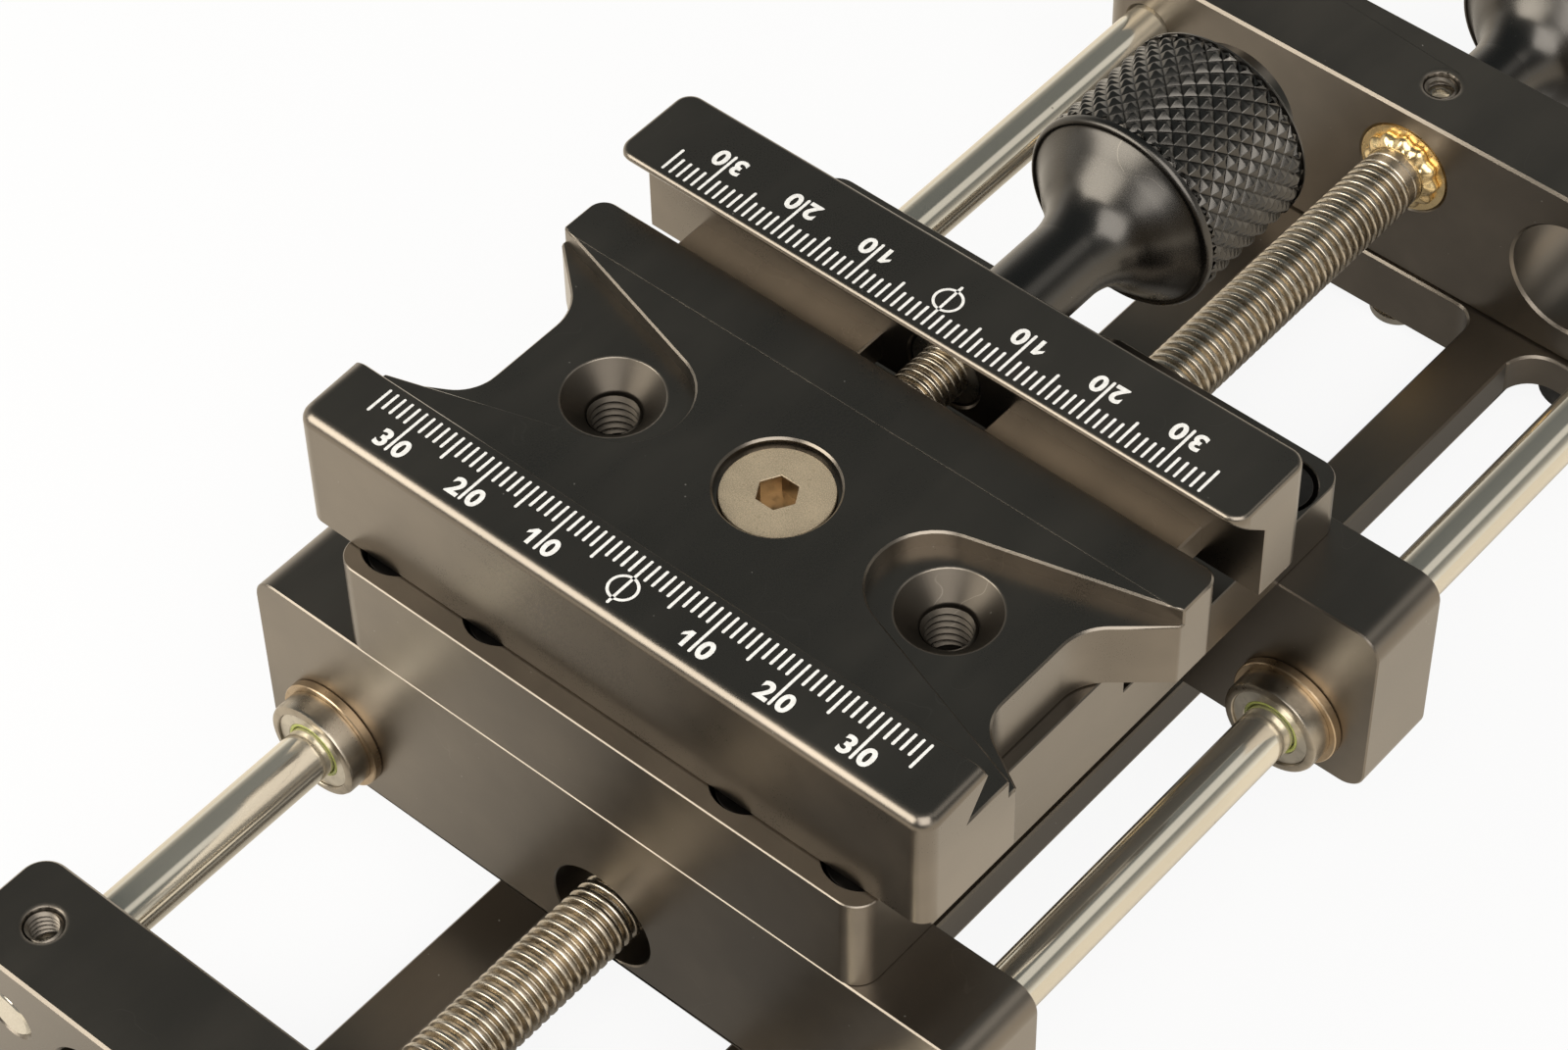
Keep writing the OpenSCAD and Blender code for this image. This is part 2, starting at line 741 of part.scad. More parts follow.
module clamp_centre_screw() {
    color(STEEL) difference() {
        union() {
            post(0, acc_line, centre_head_r, centre_seat_z, centre_top_z);
            cone(0, acc_line, m6_r, centre_head_r, centre_seat_z - centre_cone, centre_seat_z);
            post(0, acc_line, m6_r, block_top + 1, centre_seat_z - centre_cone);
        }
        hex_socket(0, acc_line, centre_socket, centre_top_z - 2.4, centre_top_z + cut);
    }
}

module locating_pins() {
    color(STEEL) for (sx = [-1, 1])
        post(sx * pin_x, clamp_y0 + pin_setback, pin_r, pad_top - pin_len / 2, pad_top + pin_len / 2);
}

// Side section of the moving jaw
module moving_section() {
    polygon([[mjaw_y0, jaw_top - mjaw_h], [mjaw_y1, jaw_top - mjaw_h], [mjaw_y1, jaw_top],
        [mlip_y, jaw_top], [mlip_y, jaw_top - lip_t], [mjaw_y0, jaw_top - floor_drop + 0.2]]);
}

module moving_jaw() {
    color(BLACK) difference() {
        union() {
            intersection() {
                translate([-jaw_len / 2, 0, 0]) rotate([90, 0, 90]) linear_extrude(jaw_len) moving_section();
                slab(-jaw_len / 2, mlip_y, jaw_len / 2, mjaw_y1, corner_r, pad_top, jaw_top + cut);
            }
            for (side = [-1, 1])
                jaw_tongue(side);
        }
        rod_along(0, clamp_z, clamp_screw_d / 2 + running_gap, mlip_y, mjaw_y1 + cut);
        rod_along(0, clamp_z, ring_seat_r, mjaw_y0 - cut, mjaw_y0 + ring_seat_t);
    }
}

module jaw_tongue(side) {
    x0 = side > 0 ? tongue_x0 : -tongue_x1;
    tip = clamp_y1 - tongue_reach + jaw_close + slide_gap;
    translate([x0, tip, clamp_z - tongue_t])
        cube([tongue_x1 - tongue_x0, mjaw_y0 + cut - tip, tongue_t]);
}

ring_seat_r = 4.7;
ring_seat_t = 1.2;
jaw_ring_r = 4.4;
jaw_ring_t = 0.9;

module clamp_screw() {
    color(DARKSTEEL) rod_along(0, clamp_z, clamp_screw_d / 2,
        clamp_y1 - screw_reach + jaw_close + slide_gap, clamp_knob_y0 + knob_bore_depth);
}

module washer_ring(r_out, y0, y1) {
    difference() {
        rod_along(0, clamp_z, r_out, y0, y1);
        rod_along(0, clamp_z, clamp_screw_d / 2 + seat_gap, y0 - cut, y1 + cut);
    }
}

module thrust_washer() {
    color(BRASS) washer_ring(washer_r, mjaw_y1 + seat_gap, mjaw_y1 + seat_gap + washer_t);
}

module jaw_retaining_ring() {
    color(STEEL) washer_ring(jaw_ring_r, mjaw_y0 + ring_seat_t - seat_gap - jaw_ring_t,
        mjaw_y0 + ring_seat_t - seat_gap);
}

module clamp_knob() {
    color(BLACK) knob(clamp_knob_y0, clamp_z, stem_len, clamp_screw_d / 2);
}

module clamp_knob_pin() {
    color(STEEL) stem_screw(clamp_knob_y0 + stem_len / 2, clamp_z, clamp_screw_d / 2);
}

base_plate();
near_end_block();
far_end_block();
left_rod();
right_rod();
rod_set_screws();
bearing_set_screw();
base_cap_screws();
stop_screws();
rubber_feet();
near_screw_bearing();
far_screw_bearing();
lead_screw();
lock_ring();
focus_knob();
focus_knob_screw();
front_block();
rear_block();
front_left_bearing();
front_right_bearing();
rear_left_bearing();
rear_right_bearing();
front_left_clips();
front_right_clips();
rear_left_clips();
rear_right_clips();
lead_nut();
nut_screws();
top_plate();
front_plate_screws();
rear_plate_screws();
clamp_body();
clamp_centre_screw();
locating_pins();
moving_jaw();
clamp_screw();
thrust_washer();
jaw_retaining_ring();
clamp_knob();
clamp_knob_pin();
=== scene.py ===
"""Dresses the macro focusing rail: machined black parts, rods, screws, bearings, knobs and scales."""
import json
import math

import bpy
from bpy.props import FloatProperty, FloatVectorProperty, IntProperty, PointerProperty
from mathutils import Matrix, Vector

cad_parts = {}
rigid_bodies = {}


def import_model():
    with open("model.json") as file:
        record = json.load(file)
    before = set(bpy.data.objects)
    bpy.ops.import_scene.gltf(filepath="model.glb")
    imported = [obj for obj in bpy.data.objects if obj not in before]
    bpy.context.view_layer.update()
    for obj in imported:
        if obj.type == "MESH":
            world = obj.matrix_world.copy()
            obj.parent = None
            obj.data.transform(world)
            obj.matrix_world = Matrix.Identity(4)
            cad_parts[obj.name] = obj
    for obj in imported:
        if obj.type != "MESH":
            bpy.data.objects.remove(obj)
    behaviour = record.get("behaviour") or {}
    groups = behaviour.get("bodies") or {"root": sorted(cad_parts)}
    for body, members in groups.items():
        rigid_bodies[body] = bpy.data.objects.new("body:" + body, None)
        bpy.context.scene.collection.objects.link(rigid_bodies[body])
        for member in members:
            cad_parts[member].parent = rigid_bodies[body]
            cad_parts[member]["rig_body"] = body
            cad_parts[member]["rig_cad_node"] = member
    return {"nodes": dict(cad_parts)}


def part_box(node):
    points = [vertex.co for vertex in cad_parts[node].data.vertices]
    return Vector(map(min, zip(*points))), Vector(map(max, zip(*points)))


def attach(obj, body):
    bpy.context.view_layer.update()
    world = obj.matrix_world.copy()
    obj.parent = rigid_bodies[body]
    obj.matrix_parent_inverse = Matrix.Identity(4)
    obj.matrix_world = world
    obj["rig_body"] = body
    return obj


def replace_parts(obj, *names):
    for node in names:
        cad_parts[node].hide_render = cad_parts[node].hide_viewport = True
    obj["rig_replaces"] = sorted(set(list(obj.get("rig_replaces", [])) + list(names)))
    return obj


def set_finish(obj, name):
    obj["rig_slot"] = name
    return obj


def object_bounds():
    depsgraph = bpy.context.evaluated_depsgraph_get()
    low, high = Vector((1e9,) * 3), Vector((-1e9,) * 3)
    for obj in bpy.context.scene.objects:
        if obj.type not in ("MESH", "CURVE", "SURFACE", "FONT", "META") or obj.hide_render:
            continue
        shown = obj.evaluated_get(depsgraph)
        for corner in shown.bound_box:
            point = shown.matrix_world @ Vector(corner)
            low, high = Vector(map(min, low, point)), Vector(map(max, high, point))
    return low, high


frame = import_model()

bl_info = {
    "name": "Macro Focusing Rail",
    "version": (1, 0, 0),
    "blender": (4, 5, 0),
    "location": "3D View > Sidebar > Focusing Rail",
    "description": "Builds the detailed pieces of a screw-driven macro focusing rail",
    "category": "Object",
}

MM = 0.001
CAD_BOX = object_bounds()
X, Y, Z = Vector((1, 0, 0)), Vector((0, 1, 0)), Vector((0, 0, 1))

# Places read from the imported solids, in metres
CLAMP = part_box("clamp_body")
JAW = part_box("moving_jaw")
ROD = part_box("right_rod")
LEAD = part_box("lead_screw")
CLAMP_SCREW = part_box("clamp_screw")
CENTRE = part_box("clamp_centre_screw")
JAW_TOP = CLAMP[1].z
ROD_X = (ROD[0].x + ROD[1].x) / 2
ROD_Z = (ROD[0].z + ROD[1].z) / 2
LEAD_Z = (LEAD[0].z + LEAD[1].z) / 2
CLAMP_Z = (CLAMP_SCREW[0].z + CLAMP_SCREW[1].z) / 2
HOLE_Y = (CENTRE[0].y + CENTRE[1].y) / 2
HOLE_X = 22.1 * MM
POCKET_Z = JAW_TOP - 7.3 * MM
FLOOR_Z = JAW_TOP - 5.2 * MM
MOVING_LIP = JAW[1].y - 11.6 * MM

# Places measured in the photo's frame
LIP_Y = -41.9 * MM
TOOL_LINE_Y = -11.7 * MM
FIXED_SCALE_Y = -43.0 * MM
LEAD_THREAD_START = -87.9 * MM

# Tapped holes: major and minor radius in mm, and pitch
SET_SCREW_THREAD = (2.03, 1.62, 0.7 * MM)
POCKET_THREAD = (3.0, 2.5, 1.0 * MM)
# Threaded sockets of the base plate: place along Y, minor and major radius, and pitch, in mm
SOCKETS = ((0, 4.0, 4.5, 1.5875), (12, 2.55, 2.95, 1.27), (-12, 2.55, 2.95, 1.27))
# Radii of the countersunk holes in the pockets: their rim, their wall, and their wall in the solid
HOLE_RIM, HOLE_WALL, HOLE_BORE = 5.6 * MM, 2.98 * MM, 2.5 * MM
# Depth of a spindle's thread as a share of its pitch, and how far its core stays below that, in mm
THREAD_DEPTH = 0.58
CORE_GAP = 0.15
# Width of a bearing's retaining clip, in mm
CLIP_WIDE = 1.1
# Waves round the lock ring, the steps of each wave, and how deep they go as a share of the radius
WAVES, WAVE_STEPS, WAVE_DEPTH = 12, 16, 0.085
# How near a point has to be to a face or an edge to count as on it
NEAR = 0.05 * MM
# Share of a packed set screw's height that shows its lowered top, and its hole's depth over a rod
# and over a bearing
SET_SCREW_PART = 0.5
ROD_SCREW_DEPTH = 3.7 * MM
BEARING_SCREW_DEPTH = 1.6 * MM

# The camera, solved from the ticks of both scales: its place, and its azimuth, elevation and roll in degrees
CAMERA_SPOT = (196.444 * MM, -244.281 * MM, 404.427 * MM)
CAMERA_TURN = (41.687, 49.365, -1.466)
# The room overhead, and the direction and colour of a pale card that the rods reflect
OVERHEAD = (0.110, 0.124, 0.128)
CARD_WAY = (0.431, 0.486, 0.757)
CARD_COLOUR = (0.80, 0.79, 0.76)


# ---------------------------------------------------------------- settings

def colour_setting(name, description, default):
    return FloatVectorProperty(
        name=name, description=description, subtype="COLOR", size=3, min=0, max=1, default=default)


def length_setting(name, description, low, high, default):
    """A length; its limits and its default are given in mm."""
    return FloatProperty(
        name=name, description=description, unit="LENGTH", min=low * MM, max=high * MM, default=default * MM)


def power_setting(name, description, default):
    return FloatProperty(name=name, description=description, unit="POWER", min=0, max=60, default=default)


class RailColours(bpy.types.PropertyGroup):
    """Colours of the finishes."""

    black: colour_setting("Black anodising", "Colour of the machined black parts", (0.180, 0.153, 0.121))
    knob: colour_setting("Knob black", "Colour of the turned knobs", (0.080, 0.074, 0.066))
    steel: colour_setting("Polished steel", "Colour of the guide rods", (0.74, 0.69, 0.58))
    screw: colour_setting("Screw steel", "Colour of the two threaded spindles", (0.56, 0.50, 0.41))
    bearing: colour_setting("Bearing steel", "Colour of the bearing cans", (0.40, 0.355, 0.29))
    bronze: colour_setting("Clip bronze", "Colour of the retaining clips", (0.50, 0.38, 0.25))
    brass: colour_setting("Brass", "Colour of the lock ring and the brass pieces", (0.94, 0.73, 0.40))
    nickel: colour_setting("Nickel", "Colour of the centre screw", (0.60, 0.49, 0.34))
    scale: colour_setting("Scale white", "Colour of the filled engraving", (0.95, 0.94, 0.91))
    seal: colour_setting("Seal", "Colour of the wiper seals in the bearings", (0.36, 0.40, 0.10))


class RailSizes(bpy.types.PropertyGroup):
    """Sizes of the details."""

    edge: length_setting("Edge break", "Width of the broken edges of the machined parts", 0.05, 1, 0.28)
    jaw_edge: length_setting("Jaw rounding", "Radius along the top front edge of the fixed jaw", 0.3, 2, 1.5)
    lead_pitch: length_setting("Lead screw pitch", "Travel of the carriage for one turn", 0.5, 2, 1.25)
    clamp_pitch: length_setting("Clamp screw pitch", "Travel of the jaw for one turn", 0.5, 2, 1.0)
    knurl_count: IntProperty(
        name="Knurls round", description="Number of diamonds round a knob", min=24, max=60, default=32)
    knurl_depth: length_setting("Knurl depth", "Depth of the cuts between the diamonds", 0.1, 0.7, 0.52)
    tick: length_setting("Tick width", "Width of the lines of the scales", 0.1, 0.6, 0.34)
    figure: length_setting("Figure height", "Height of the numbers of the scales", 1, 4, 2.3)


class StudioSettings(bpy.types.PropertyGroup):
    """The floor, the light and the camera."""

    floor: colour_setting("Floor", "Colour of the floor", (0.93, 0.92, 0.90))
    # colour of the painted reflection: how the floor glows to the rail's metal
    bounce: colour_setting("Bounce", "Colour in which the rail's metal reflects the floor", (1.0, 0.90, 0.75))
    key: power_setting("Key light", "Power of the large lamp at the front left", 8.0)
    fill: power_setting("Top light", "Power of the lamp above the camera", 13.0)
    lens: FloatProperty(
        name="Focal length", description="Lens of the camera",
        subtype="DISTANCE_CAMERA", min=20, max=300, default=103.44)


# ---------------------------------------------------------------- workbench

def deselect_all():
    if bpy.context.object and bpy.context.object.mode != "OBJECT":
        bpy.ops.object.mode_set(mode="OBJECT")
    bpy.ops.object.select_all(action="DESELECT")


def only(*pieces):
    """Selects these pieces and makes the first one active."""
    deselect_all()
    for piece in pieces:
        piece.select_set(True)
    bpy.context.view_layer.objects.active = pieces[0]


def edit(piece):
    only(piece)
    bpy.ops.object.mode_set(mode="EDIT")


def edit_all(piece):
    """Opens a piece for editing with all of it selected."""
    edit(piece)
    bpy.ops.mesh.select_all(action="SELECT")


def pick(piece, kind, accepts):
    """Selects the vertices, edges or faces that a test on the mesh accepts, and counts them."""
    edit(piece)
    bpy.ops.mesh.select_mode(type=kind)
    bpy.ops.mesh.select_all(action="DESELECT")
    bpy.ops.object.mode_set(mode="OBJECT")
    mesh = piece.data
    items = {"VERT": mesh.vertices, "EDGE": mesh.edges, "FACE": mesh.polygons}[kind]
    found = 0
    for item in items:
        if accepts(item):
            item.select = True
            found += 1
    bpy.ops.object.mode_set(mode="EDIT")
    return found


def pick_points(piece, accepts):
    found = pick(piece, "VERT", lambda v: accepts(v.co))
    if not found:
        raise RuntimeError(f"{piece.name}: no vertices at the place to be shaped")
    return found


def pick_edges(piece, accepts):
    """Selects the edges for which the test accepts both ends."""
    verts = piece.data.vertices
    found = pick(piece, "EDGE", lambda e: accepts(verts[e.vertices[0]].co, verts[e.vertices[1]].co))
    if not found:
        raise RuntimeError(f"{piece.name}: no edges at the place to be shaped")
    return found


def pick_faces(piece, accepts):
    found = pick(piece, "FACE", lambda f: accepts(f.center, f.normal))
    if not found:
        raise RuntimeError(f"{piece.name}: no faces at the place to be shaped")
    return found


def done_editing(piece):
    bpy.ops.object.mode_set(mode="OBJECT")
    return piece


def level_top(piece, z):
    """Brings what rounding has pushed above a flat top back down to it."""
    if any(v.co.z > z + 1e-6 for v in piece.data.vertices):
        pick_points(piece, lambda co: co.z > z + 1e-6)
        bpy.ops.transform.resize(value=(1, 1, 0), center_override=(0, 0, z))
        done_editing(piece)
    return piece


def flip(piece):
    edit_all(piece)
    bpy.ops.mesh.flip_normals()
    return done_editing(piece)


def outwards(piece):
    edit_all(piece)
    bpy.ops.mesh.normals_make_consistent(inside=False)
    return done_editing(piece)


def weld(piece, gap=1e-6):
    edit_all(piece)
    bpy.ops.mesh.remove_doubles(threshold=gap)
    bpy.ops.mesh.normals_make_consistent(inside=False)
    return done_editing(piece)


def use_modifier(piece, kind, **settings):
    """Adds a modifier with its settings and applies it."""
    only(piece)
    bpy.ops.object.modifier_add(type=kind)
    modifier = piece.modifiers[-1]
    for key, value in settings.items():
        setattr(modifier, key, value)
    bpy.ops.object.modifier_apply(modifier=modifier.name)
    return piece


def outer_edges(mesh, angle):
    """The ends of every edge that bends outwards by more than an angle."""
    sides = {}
    for face in mesh.polygons:
        ring = list(face.vertices)
        for a, b in zip(ring, ring[1:] + ring[:1]):
            sides.setdefault((min(a, b), max(a, b)), []).append((a, b, face.normal))
    found = set()
    for ends, both in sides.items():
        if len(both) != 2:
            continue
        (_, _, first), (c, d, second) = both
        inward = second.cross(mesh.vertices[d].co - mesh.vertices[c].co)
        if first.angle(second, 0) > angle and inward.dot(first) < 0:
            found.add(ends)
    return found


def round_edges(piece, width, segments):
    """Rounds the edges that are selected in the piece."""
    bpy.ops.mesh.bevel(offset=width, segments=segments, profile=0.5, affect="EDGES", clamp_overlap=False)
    return done_editing(piece)


def break_edges(piece, width, segments=1, angle=34):
    """Bevels every sharp outer edge: a flat chamfer, or a round with more segments."""
    found = outer_edges(piece.data, math.radians(angle))
    pick(piece, "EDGE", lambda e: tuple(sorted(e.vertices)) in found)
    bpy.ops.mesh.bevel(
        offset=width, segments=segments, profile=0.5, affect="EDGES", clamp_overlap=False, miter_outer="ARC")
    return done_editing(piece)


def smooth(piece, angle=40, weighted=True):
    only(piece)
    bpy.ops.object.shade_smooth_by_angle(angle=math.radians(angle))
    if weighted:
        use_modifier(piece, "WEIGHTED_NORMAL", weight=60, keep_sharp=True)
    return piece


def settle(piece):
    """Puts the place of a piece into its mesh."""
    only(piece)
    bpy.ops.object.transform_apply(location=True, rotation=True, scale=True)
    return piece


def copy_of(name, *pieces):
    """One new piece with its own mesh, copied from others; a CAD copy is merged first."""
    only(*pieces)
    bpy.ops.object.duplicate()
    made = bpy.context.selected_objects
    bpy.context.view_layer.objects.active = made[0]
    if len(made) > 1:
        bpy.ops.object.join()
    piece = bpy.context.object
    bpy.ops.object.parent_clear(type="CLEAR_KEEP_TRANSFORM")
    piece.name = name
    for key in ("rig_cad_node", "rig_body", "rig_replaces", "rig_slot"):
        if key in piece:
            del piece[key]
    return piece


def solid_of(name, node):
    """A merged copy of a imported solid, with flat faces whole again."""
    piece = copy_of(name, frame["nodes"][node])
    piece.data.materials.clear()
    edit_all(piece)
    bpy.ops.mesh.customdata_custom_splitnormals_clear()
    bpy.ops.mesh.remove_doubles(threshold=2e-6)
    bpy.ops.mesh.dissolve_limited(angle_limit=math.radians(0.6))
    return done_editing(piece)


def join(name, *pieces):
    only(*pieces)
    if len(pieces) > 1:
        bpy.ops.object.join()
    pieces[0].name = name
    return pieces[0]


def finish_faces(piece, finish, accepts):
    """Gives the faces that the test accepts a finish of their own."""
    piece.data.materials.append(finish)
    pick_faces(piece, accepts)
    piece.active_material_index = len(piece.data.materials) - 1
    bpy.ops.object.material_slot_assign()
    return done_editing(piece)


def place(piece, body, slot, finish, *nodes):
    """Gives a piece its finish and its body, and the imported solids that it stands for."""
    settle(piece)
    piece.data.materials.clear()
    piece.data.materials.append(finish)
    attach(piece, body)
    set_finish(piece, slot)
    if nodes:
        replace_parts(piece, *nodes)
    return piece


def keep(finish, *nodes):
    """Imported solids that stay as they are, with a finish of their own."""
    for node in nodes:
        mesh = frame["nodes"][node].data
        mesh.materials.clear()
        mesh.materials.append(finish)


def wire(name, points, closed=False):
    """A chain of edges through points, drawn in edit mode."""
    deselect_all()
    bpy.ops.mesh.primitive_plane_add(size=MM, location=(0, 0, 0))
    piece = bpy.context.object
    piece.name = name
    bpy.ops.object.mode_set(mode="EDIT")
    bpy.ops.mesh.select_mode(type="VERT")
    bpy.ops.mesh.merge(type="CENTER")
    bpy.ops.transform.translate(value=points[0])
    for a, b in zip(points, points[1:]):
        bpy.ops.mesh.extrude_vertices_move(TRANSFORM_OT_translate={"value": b - a})
    if closed:
        bpy.ops.mesh.select_all(action="SELECT")
        bpy.ops.mesh.remove_doubles(threshold=1e-7)
    return done_editing(piece)


def across(axis):
    """The direction in which radii are drawn for a turned piece."""
    return Z if abs(axis.y) > 0.5 else X


def turned(name, foot, axis, outline, steps=64):
    """A piece turned round an axis from its half section: pairs of distance along and radius, in mm."""
    points = [foot + axis * (along * MM) + across(axis) * (radius * MM) for along, radius in outline]
    piece = wire(name, points, closed=True)
    edit_all(piece)
    bpy.ops.mesh.spin(steps=steps, angle=2 * math.pi, center=foot, axis=axis)
    done_editing(piece)
    return weld(piece)


def flowing(points, steps):
    """A smooth line through points, with this many steps between each two."""
    made = [points[0]]
    ends = [points[0]] + list(points) + [points[-1]]
    for a, b, c, d in zip(ends, ends[1:], ends[2:], ends[3:]):
        for i in range(1, steps + 1):
            t = i / steps
            made.append(tuple(
                0.5 * (2 * q + (r - p) * t + (2 * p - 5 * q + 4 * r - s) * t * t
                       + (3 * q - p - 3 * r + s) * t ** 3)
                for p, q, r, s in zip(a, b, c, d)))
    return made


def thread(name, foot, axis, pitch, length, section, steps=28, closed=False):
    """A helical ridge: one pitch of its section, wound with the Screw modifier and cut square at both ends.
    The section is a list of distance along, as a share of the pitch, and radius in mm."""
    points = [X * (radius * MM) + Z * (share * pitch) for share, radius in section]
    turns = int(math.ceil(length / pitch)) + 2
    piece = wire(name, points)
    use_modifier(
        piece, "SCREW", axis="Z", angle=2 * math.pi, screw_offset=pitch, iterations=turns,
        steps=steps, render_steps=steps, use_merge_vertices=False, use_smooth_shade=True)
    edit_all(piece)
    bpy.ops.mesh.remove_doubles(threshold=2e-6)
    bpy.ops.transform.translate(value=(0, 0, -pitch))
    done_editing(piece)
    for level, outer in ((0, False), (length, True)):
        edit_all(piece)
        bpy.ops.mesh.bisect(
            plane_co=(0, 0, level), plane_no=(0, 0, 1), use_fill=closed,
            clear_inner=not outer, clear_outer=outer, threshold=1e-7)
        done_editing(piece)
    turn = Z.rotation_difference(axis).to_matrix().to_4x4()
    piece.matrix_world = Matrix.Translation(foot) @ turn
    return settle(piece)


# ---------------------------------------------------------------- finishes

class Value:
    """A socket of a finish that takes part in ordinary arithmetic."""

    def __init__(self, finish, socket):
        self.finish = finish
        self.socket = socket

    def _with(self, operation, first, second):
        return self.finish.node("ShaderNodeMath", {"operation": operation}, {0: first, 1: second})

    def __add__(self, other):
        return self._with("ADD", self, other)

    __radd__ = __add__

    def __sub__(self, other):
        return self._with("SUBTRACT", self, other)

    def __rsub__(self, other):
        return self._with("SUBTRACT", other, self)

    def __mul__(self, other):
        return self._with("MULTIPLY", self, other)

    def __lt__(self, other):
        return self._with("LESS_THAN", self, other)

    def __abs__(self):
        return self.finish.node("ShaderNodeMath", {"operation": "ABSOLUTE"}, {0: self})


class Finish:
    """A material in the making."""

    def __init__(self, name):
        self.material = bpy.data.materials.new(name)
        self.material.use_nodes = True
        self.tree = self.material.node_tree
        self.tree.nodes.clear()
        self.spot = None

    @classmethod
    def of_tree(cls, tree):
        """The same for the nodes of a world."""
        made = cls.__new__(cls)
        made.material, made.tree, made.spot = None, tree, None
        tree.nodes.clear()
        return made

    def node(self, kind, settings=None, inputs=None, out=0):
        """Adds a node: its settings first, then the values or links of its sockets."""
        made = self.tree.nodes.new(kind)
        for key, value in (settings or {}).items():
            if key == "stops":
                ramp = made.color_ramp
                while len(ramp.elements) < len(value):
                    ramp.elements.new(0.5)
                for element, (position, colour) in zip(ramp.elements, value):
                    element.position = position
                    element.color = (*colour, 1) if len(colour) == 3 else colour
            else:
                setattr(made, key, value)
        for key, value in (inputs or {}).items():
            if isinstance(value, Value):
                self.tree.links.new(value.socket, made.inputs[key])
            else:
                made.inputs[key].default_value = value
        return Value(self, made.outputs[out]) if made.outputs else None

    def where(self, scale=(1, 1, 1), turn=(0, 0, 0), shift=(0, 0, 0)):
        """Object coordinates in metres, scaled, turned and shifted."""
        if self.spot is None:
            self.spot = self.node("ShaderNodeTexCoord", out="Object")
        return self.node("ShaderNodeMapping", {}, {
            "Vector": self.spot, "Location": shift, "Rotation": turn, "Scale": scale})

    def noise(self, size, detail=2.0, stretch=(1, 1, 1), turn=(0, 0, 0), shift=(0, 0, 0)):
        """Cloudy noise whose features are about this size, in mm."""
        k = 1 / (size * MM)
        where = self.where((k * stretch[0], k * stretch[1], k * stretch[2]), turn, shift)
        return self.node("ShaderNodeTexNoise", {}, {"Vector": where, "Scale": 1.0, "Detail": detail})

    def specks(self, spacing, share):
        """Small dots: 1 on a dot and 0 elsewhere."""
        k = 1 / (spacing * MM)
        where = self.where((k, k, k))
        near = self.node("ShaderNodeTexVoronoi", {"feature": "F1"}, {
            "Vector": where, "Scale": 1.0, "Randomness": 1.0}, out="Distance")
        return near < share

    def ramp(self, value, low, high):
        """0 up to low and 1 from high on, smoothly between."""
        return self.node("ShaderNodeMapRange", {"interpolation_type": "SMOOTHSTEP"}, {
            "Value": value, "From Min": low, "From Max": high, "To Min": 0.0, "To Max": 1.0})

    def mix(self, factor, first, second):
        """Mixes two colours."""
        first, second = [v if isinstance(v, Value) else (*v, 1) for v in (first, second)]
        return self.node("ShaderNodeMix", {"data_type": "RGBA"}, {0: factor, 6: first, 7: second}, out=2)

    def bump(self, height, depth, strength=1.0, normal=None):
        """A bump of this depth, in mm."""
        inputs = {"Height": height, "Distance": depth * MM, "Strength": strength}
        if normal is not None:
            inputs["Normal"] = normal
        return self.node("ShaderNodeBump", {}, inputs)

    def surface(self, **inputs):
        """The shader itself; what is the same all over is set on its own sockets."""
        named = {key.replace("_", " "): value for key, value in inputs.items()}
        made = self.node("ShaderNodeBsdfPrincipled", {}, named)
        out = self.tree.nodes.new("ShaderNodeOutputMaterial")
        self.tree.links.new(made.socket, out.inputs["Surface"])
        return self.material


def shade(colour, factor):
    return tuple(c * factor for c in colour)


FINISHES = {}


def black_finish(name, colour, rough=0.34, dusty=1.0, coat=0.5):
    """Satin black anodised aluminium: fine grain, faint wipes, hair scratches and a little dust."""
    f = Finish(name)
    cloud = f.noise(26, 3)
    grain = f.noise(0.16, 2)
    wipe = f.noise(5, 2, (1, 0.22, 1), turn=(0, 0, 0.5))
    hair = abs(f.noise(13, 2.5, (1, 0.7, 1)) - 0.5)
    hair = (1 - f.ramp(hair, 0.0006, 0.0022)) * f.ramp(f.noise(9, 1, shift=(3, 1, 2)), 0.55, 0.68)
    dust = f.specks(2.6, 0.035) * f.ramp(f.noise(15, 2, shift=(5, 2, 8)), 0.42, 0.62)
    wear = f.ramp(cloud + wipe * 0.4, 0.5, 1.0)
    tone = f.mix(wear, shade(colour, 0.86), shade(colour, 1.2))
    tone = f.mix(hair * 0.12, tone, (0.42, 0.38, 0.32))
    tone = f.mix(dust * 0.75 * dusty, tone, (0.62, 0.60, 0.55))
    roughness = rough + (cloud - 0.5) * 0.10 + (wipe - 0.5) * 0.08 + (grain - 0.5) * 0.10 + dust * 0.3
    normal = f.bump(grain, 0.006, 0.55)
    normal = f.bump(hair, 0.006, 0.3, normal)
    # the oxide layer is a clear hard coat over the dyed metal
    return f.surface(
        Base_Color=tone, Metallic=1.0, Roughness=roughness, Normal=normal,
        Coat_Weight=coat - dust * coat * 0.6, Coat_Roughness=rough, Coat_IOR=1.76)


def polished_finish(name, colour):
    """Ground and polished rod steel, with fine lines round it and a thin film of oil."""
    f = Finish(name)
    rings = f.noise(0.5, 2, (0.2, 1, 0.2))
    film = f.noise(9, 3, (1, 0.35, 1))
    tone = f.mix(f.ramp(film, 0.35, 0.75), shade(colour, 0.93), shade(colour, 1.05))
    spots = f.specks(6, 0.03)
    tone = f.mix(spots * 0.5, tone, (0.25, 0.22, 0.18))
    roughness = 0.11 + (film - 0.5) * 0.06 + (rings - 0.5) * 0.04
    return f.surface(
        Base_Color=tone, Metallic=0.85, Roughness=roughness, Normal=f.bump(rings, 0.0003, 0.15))


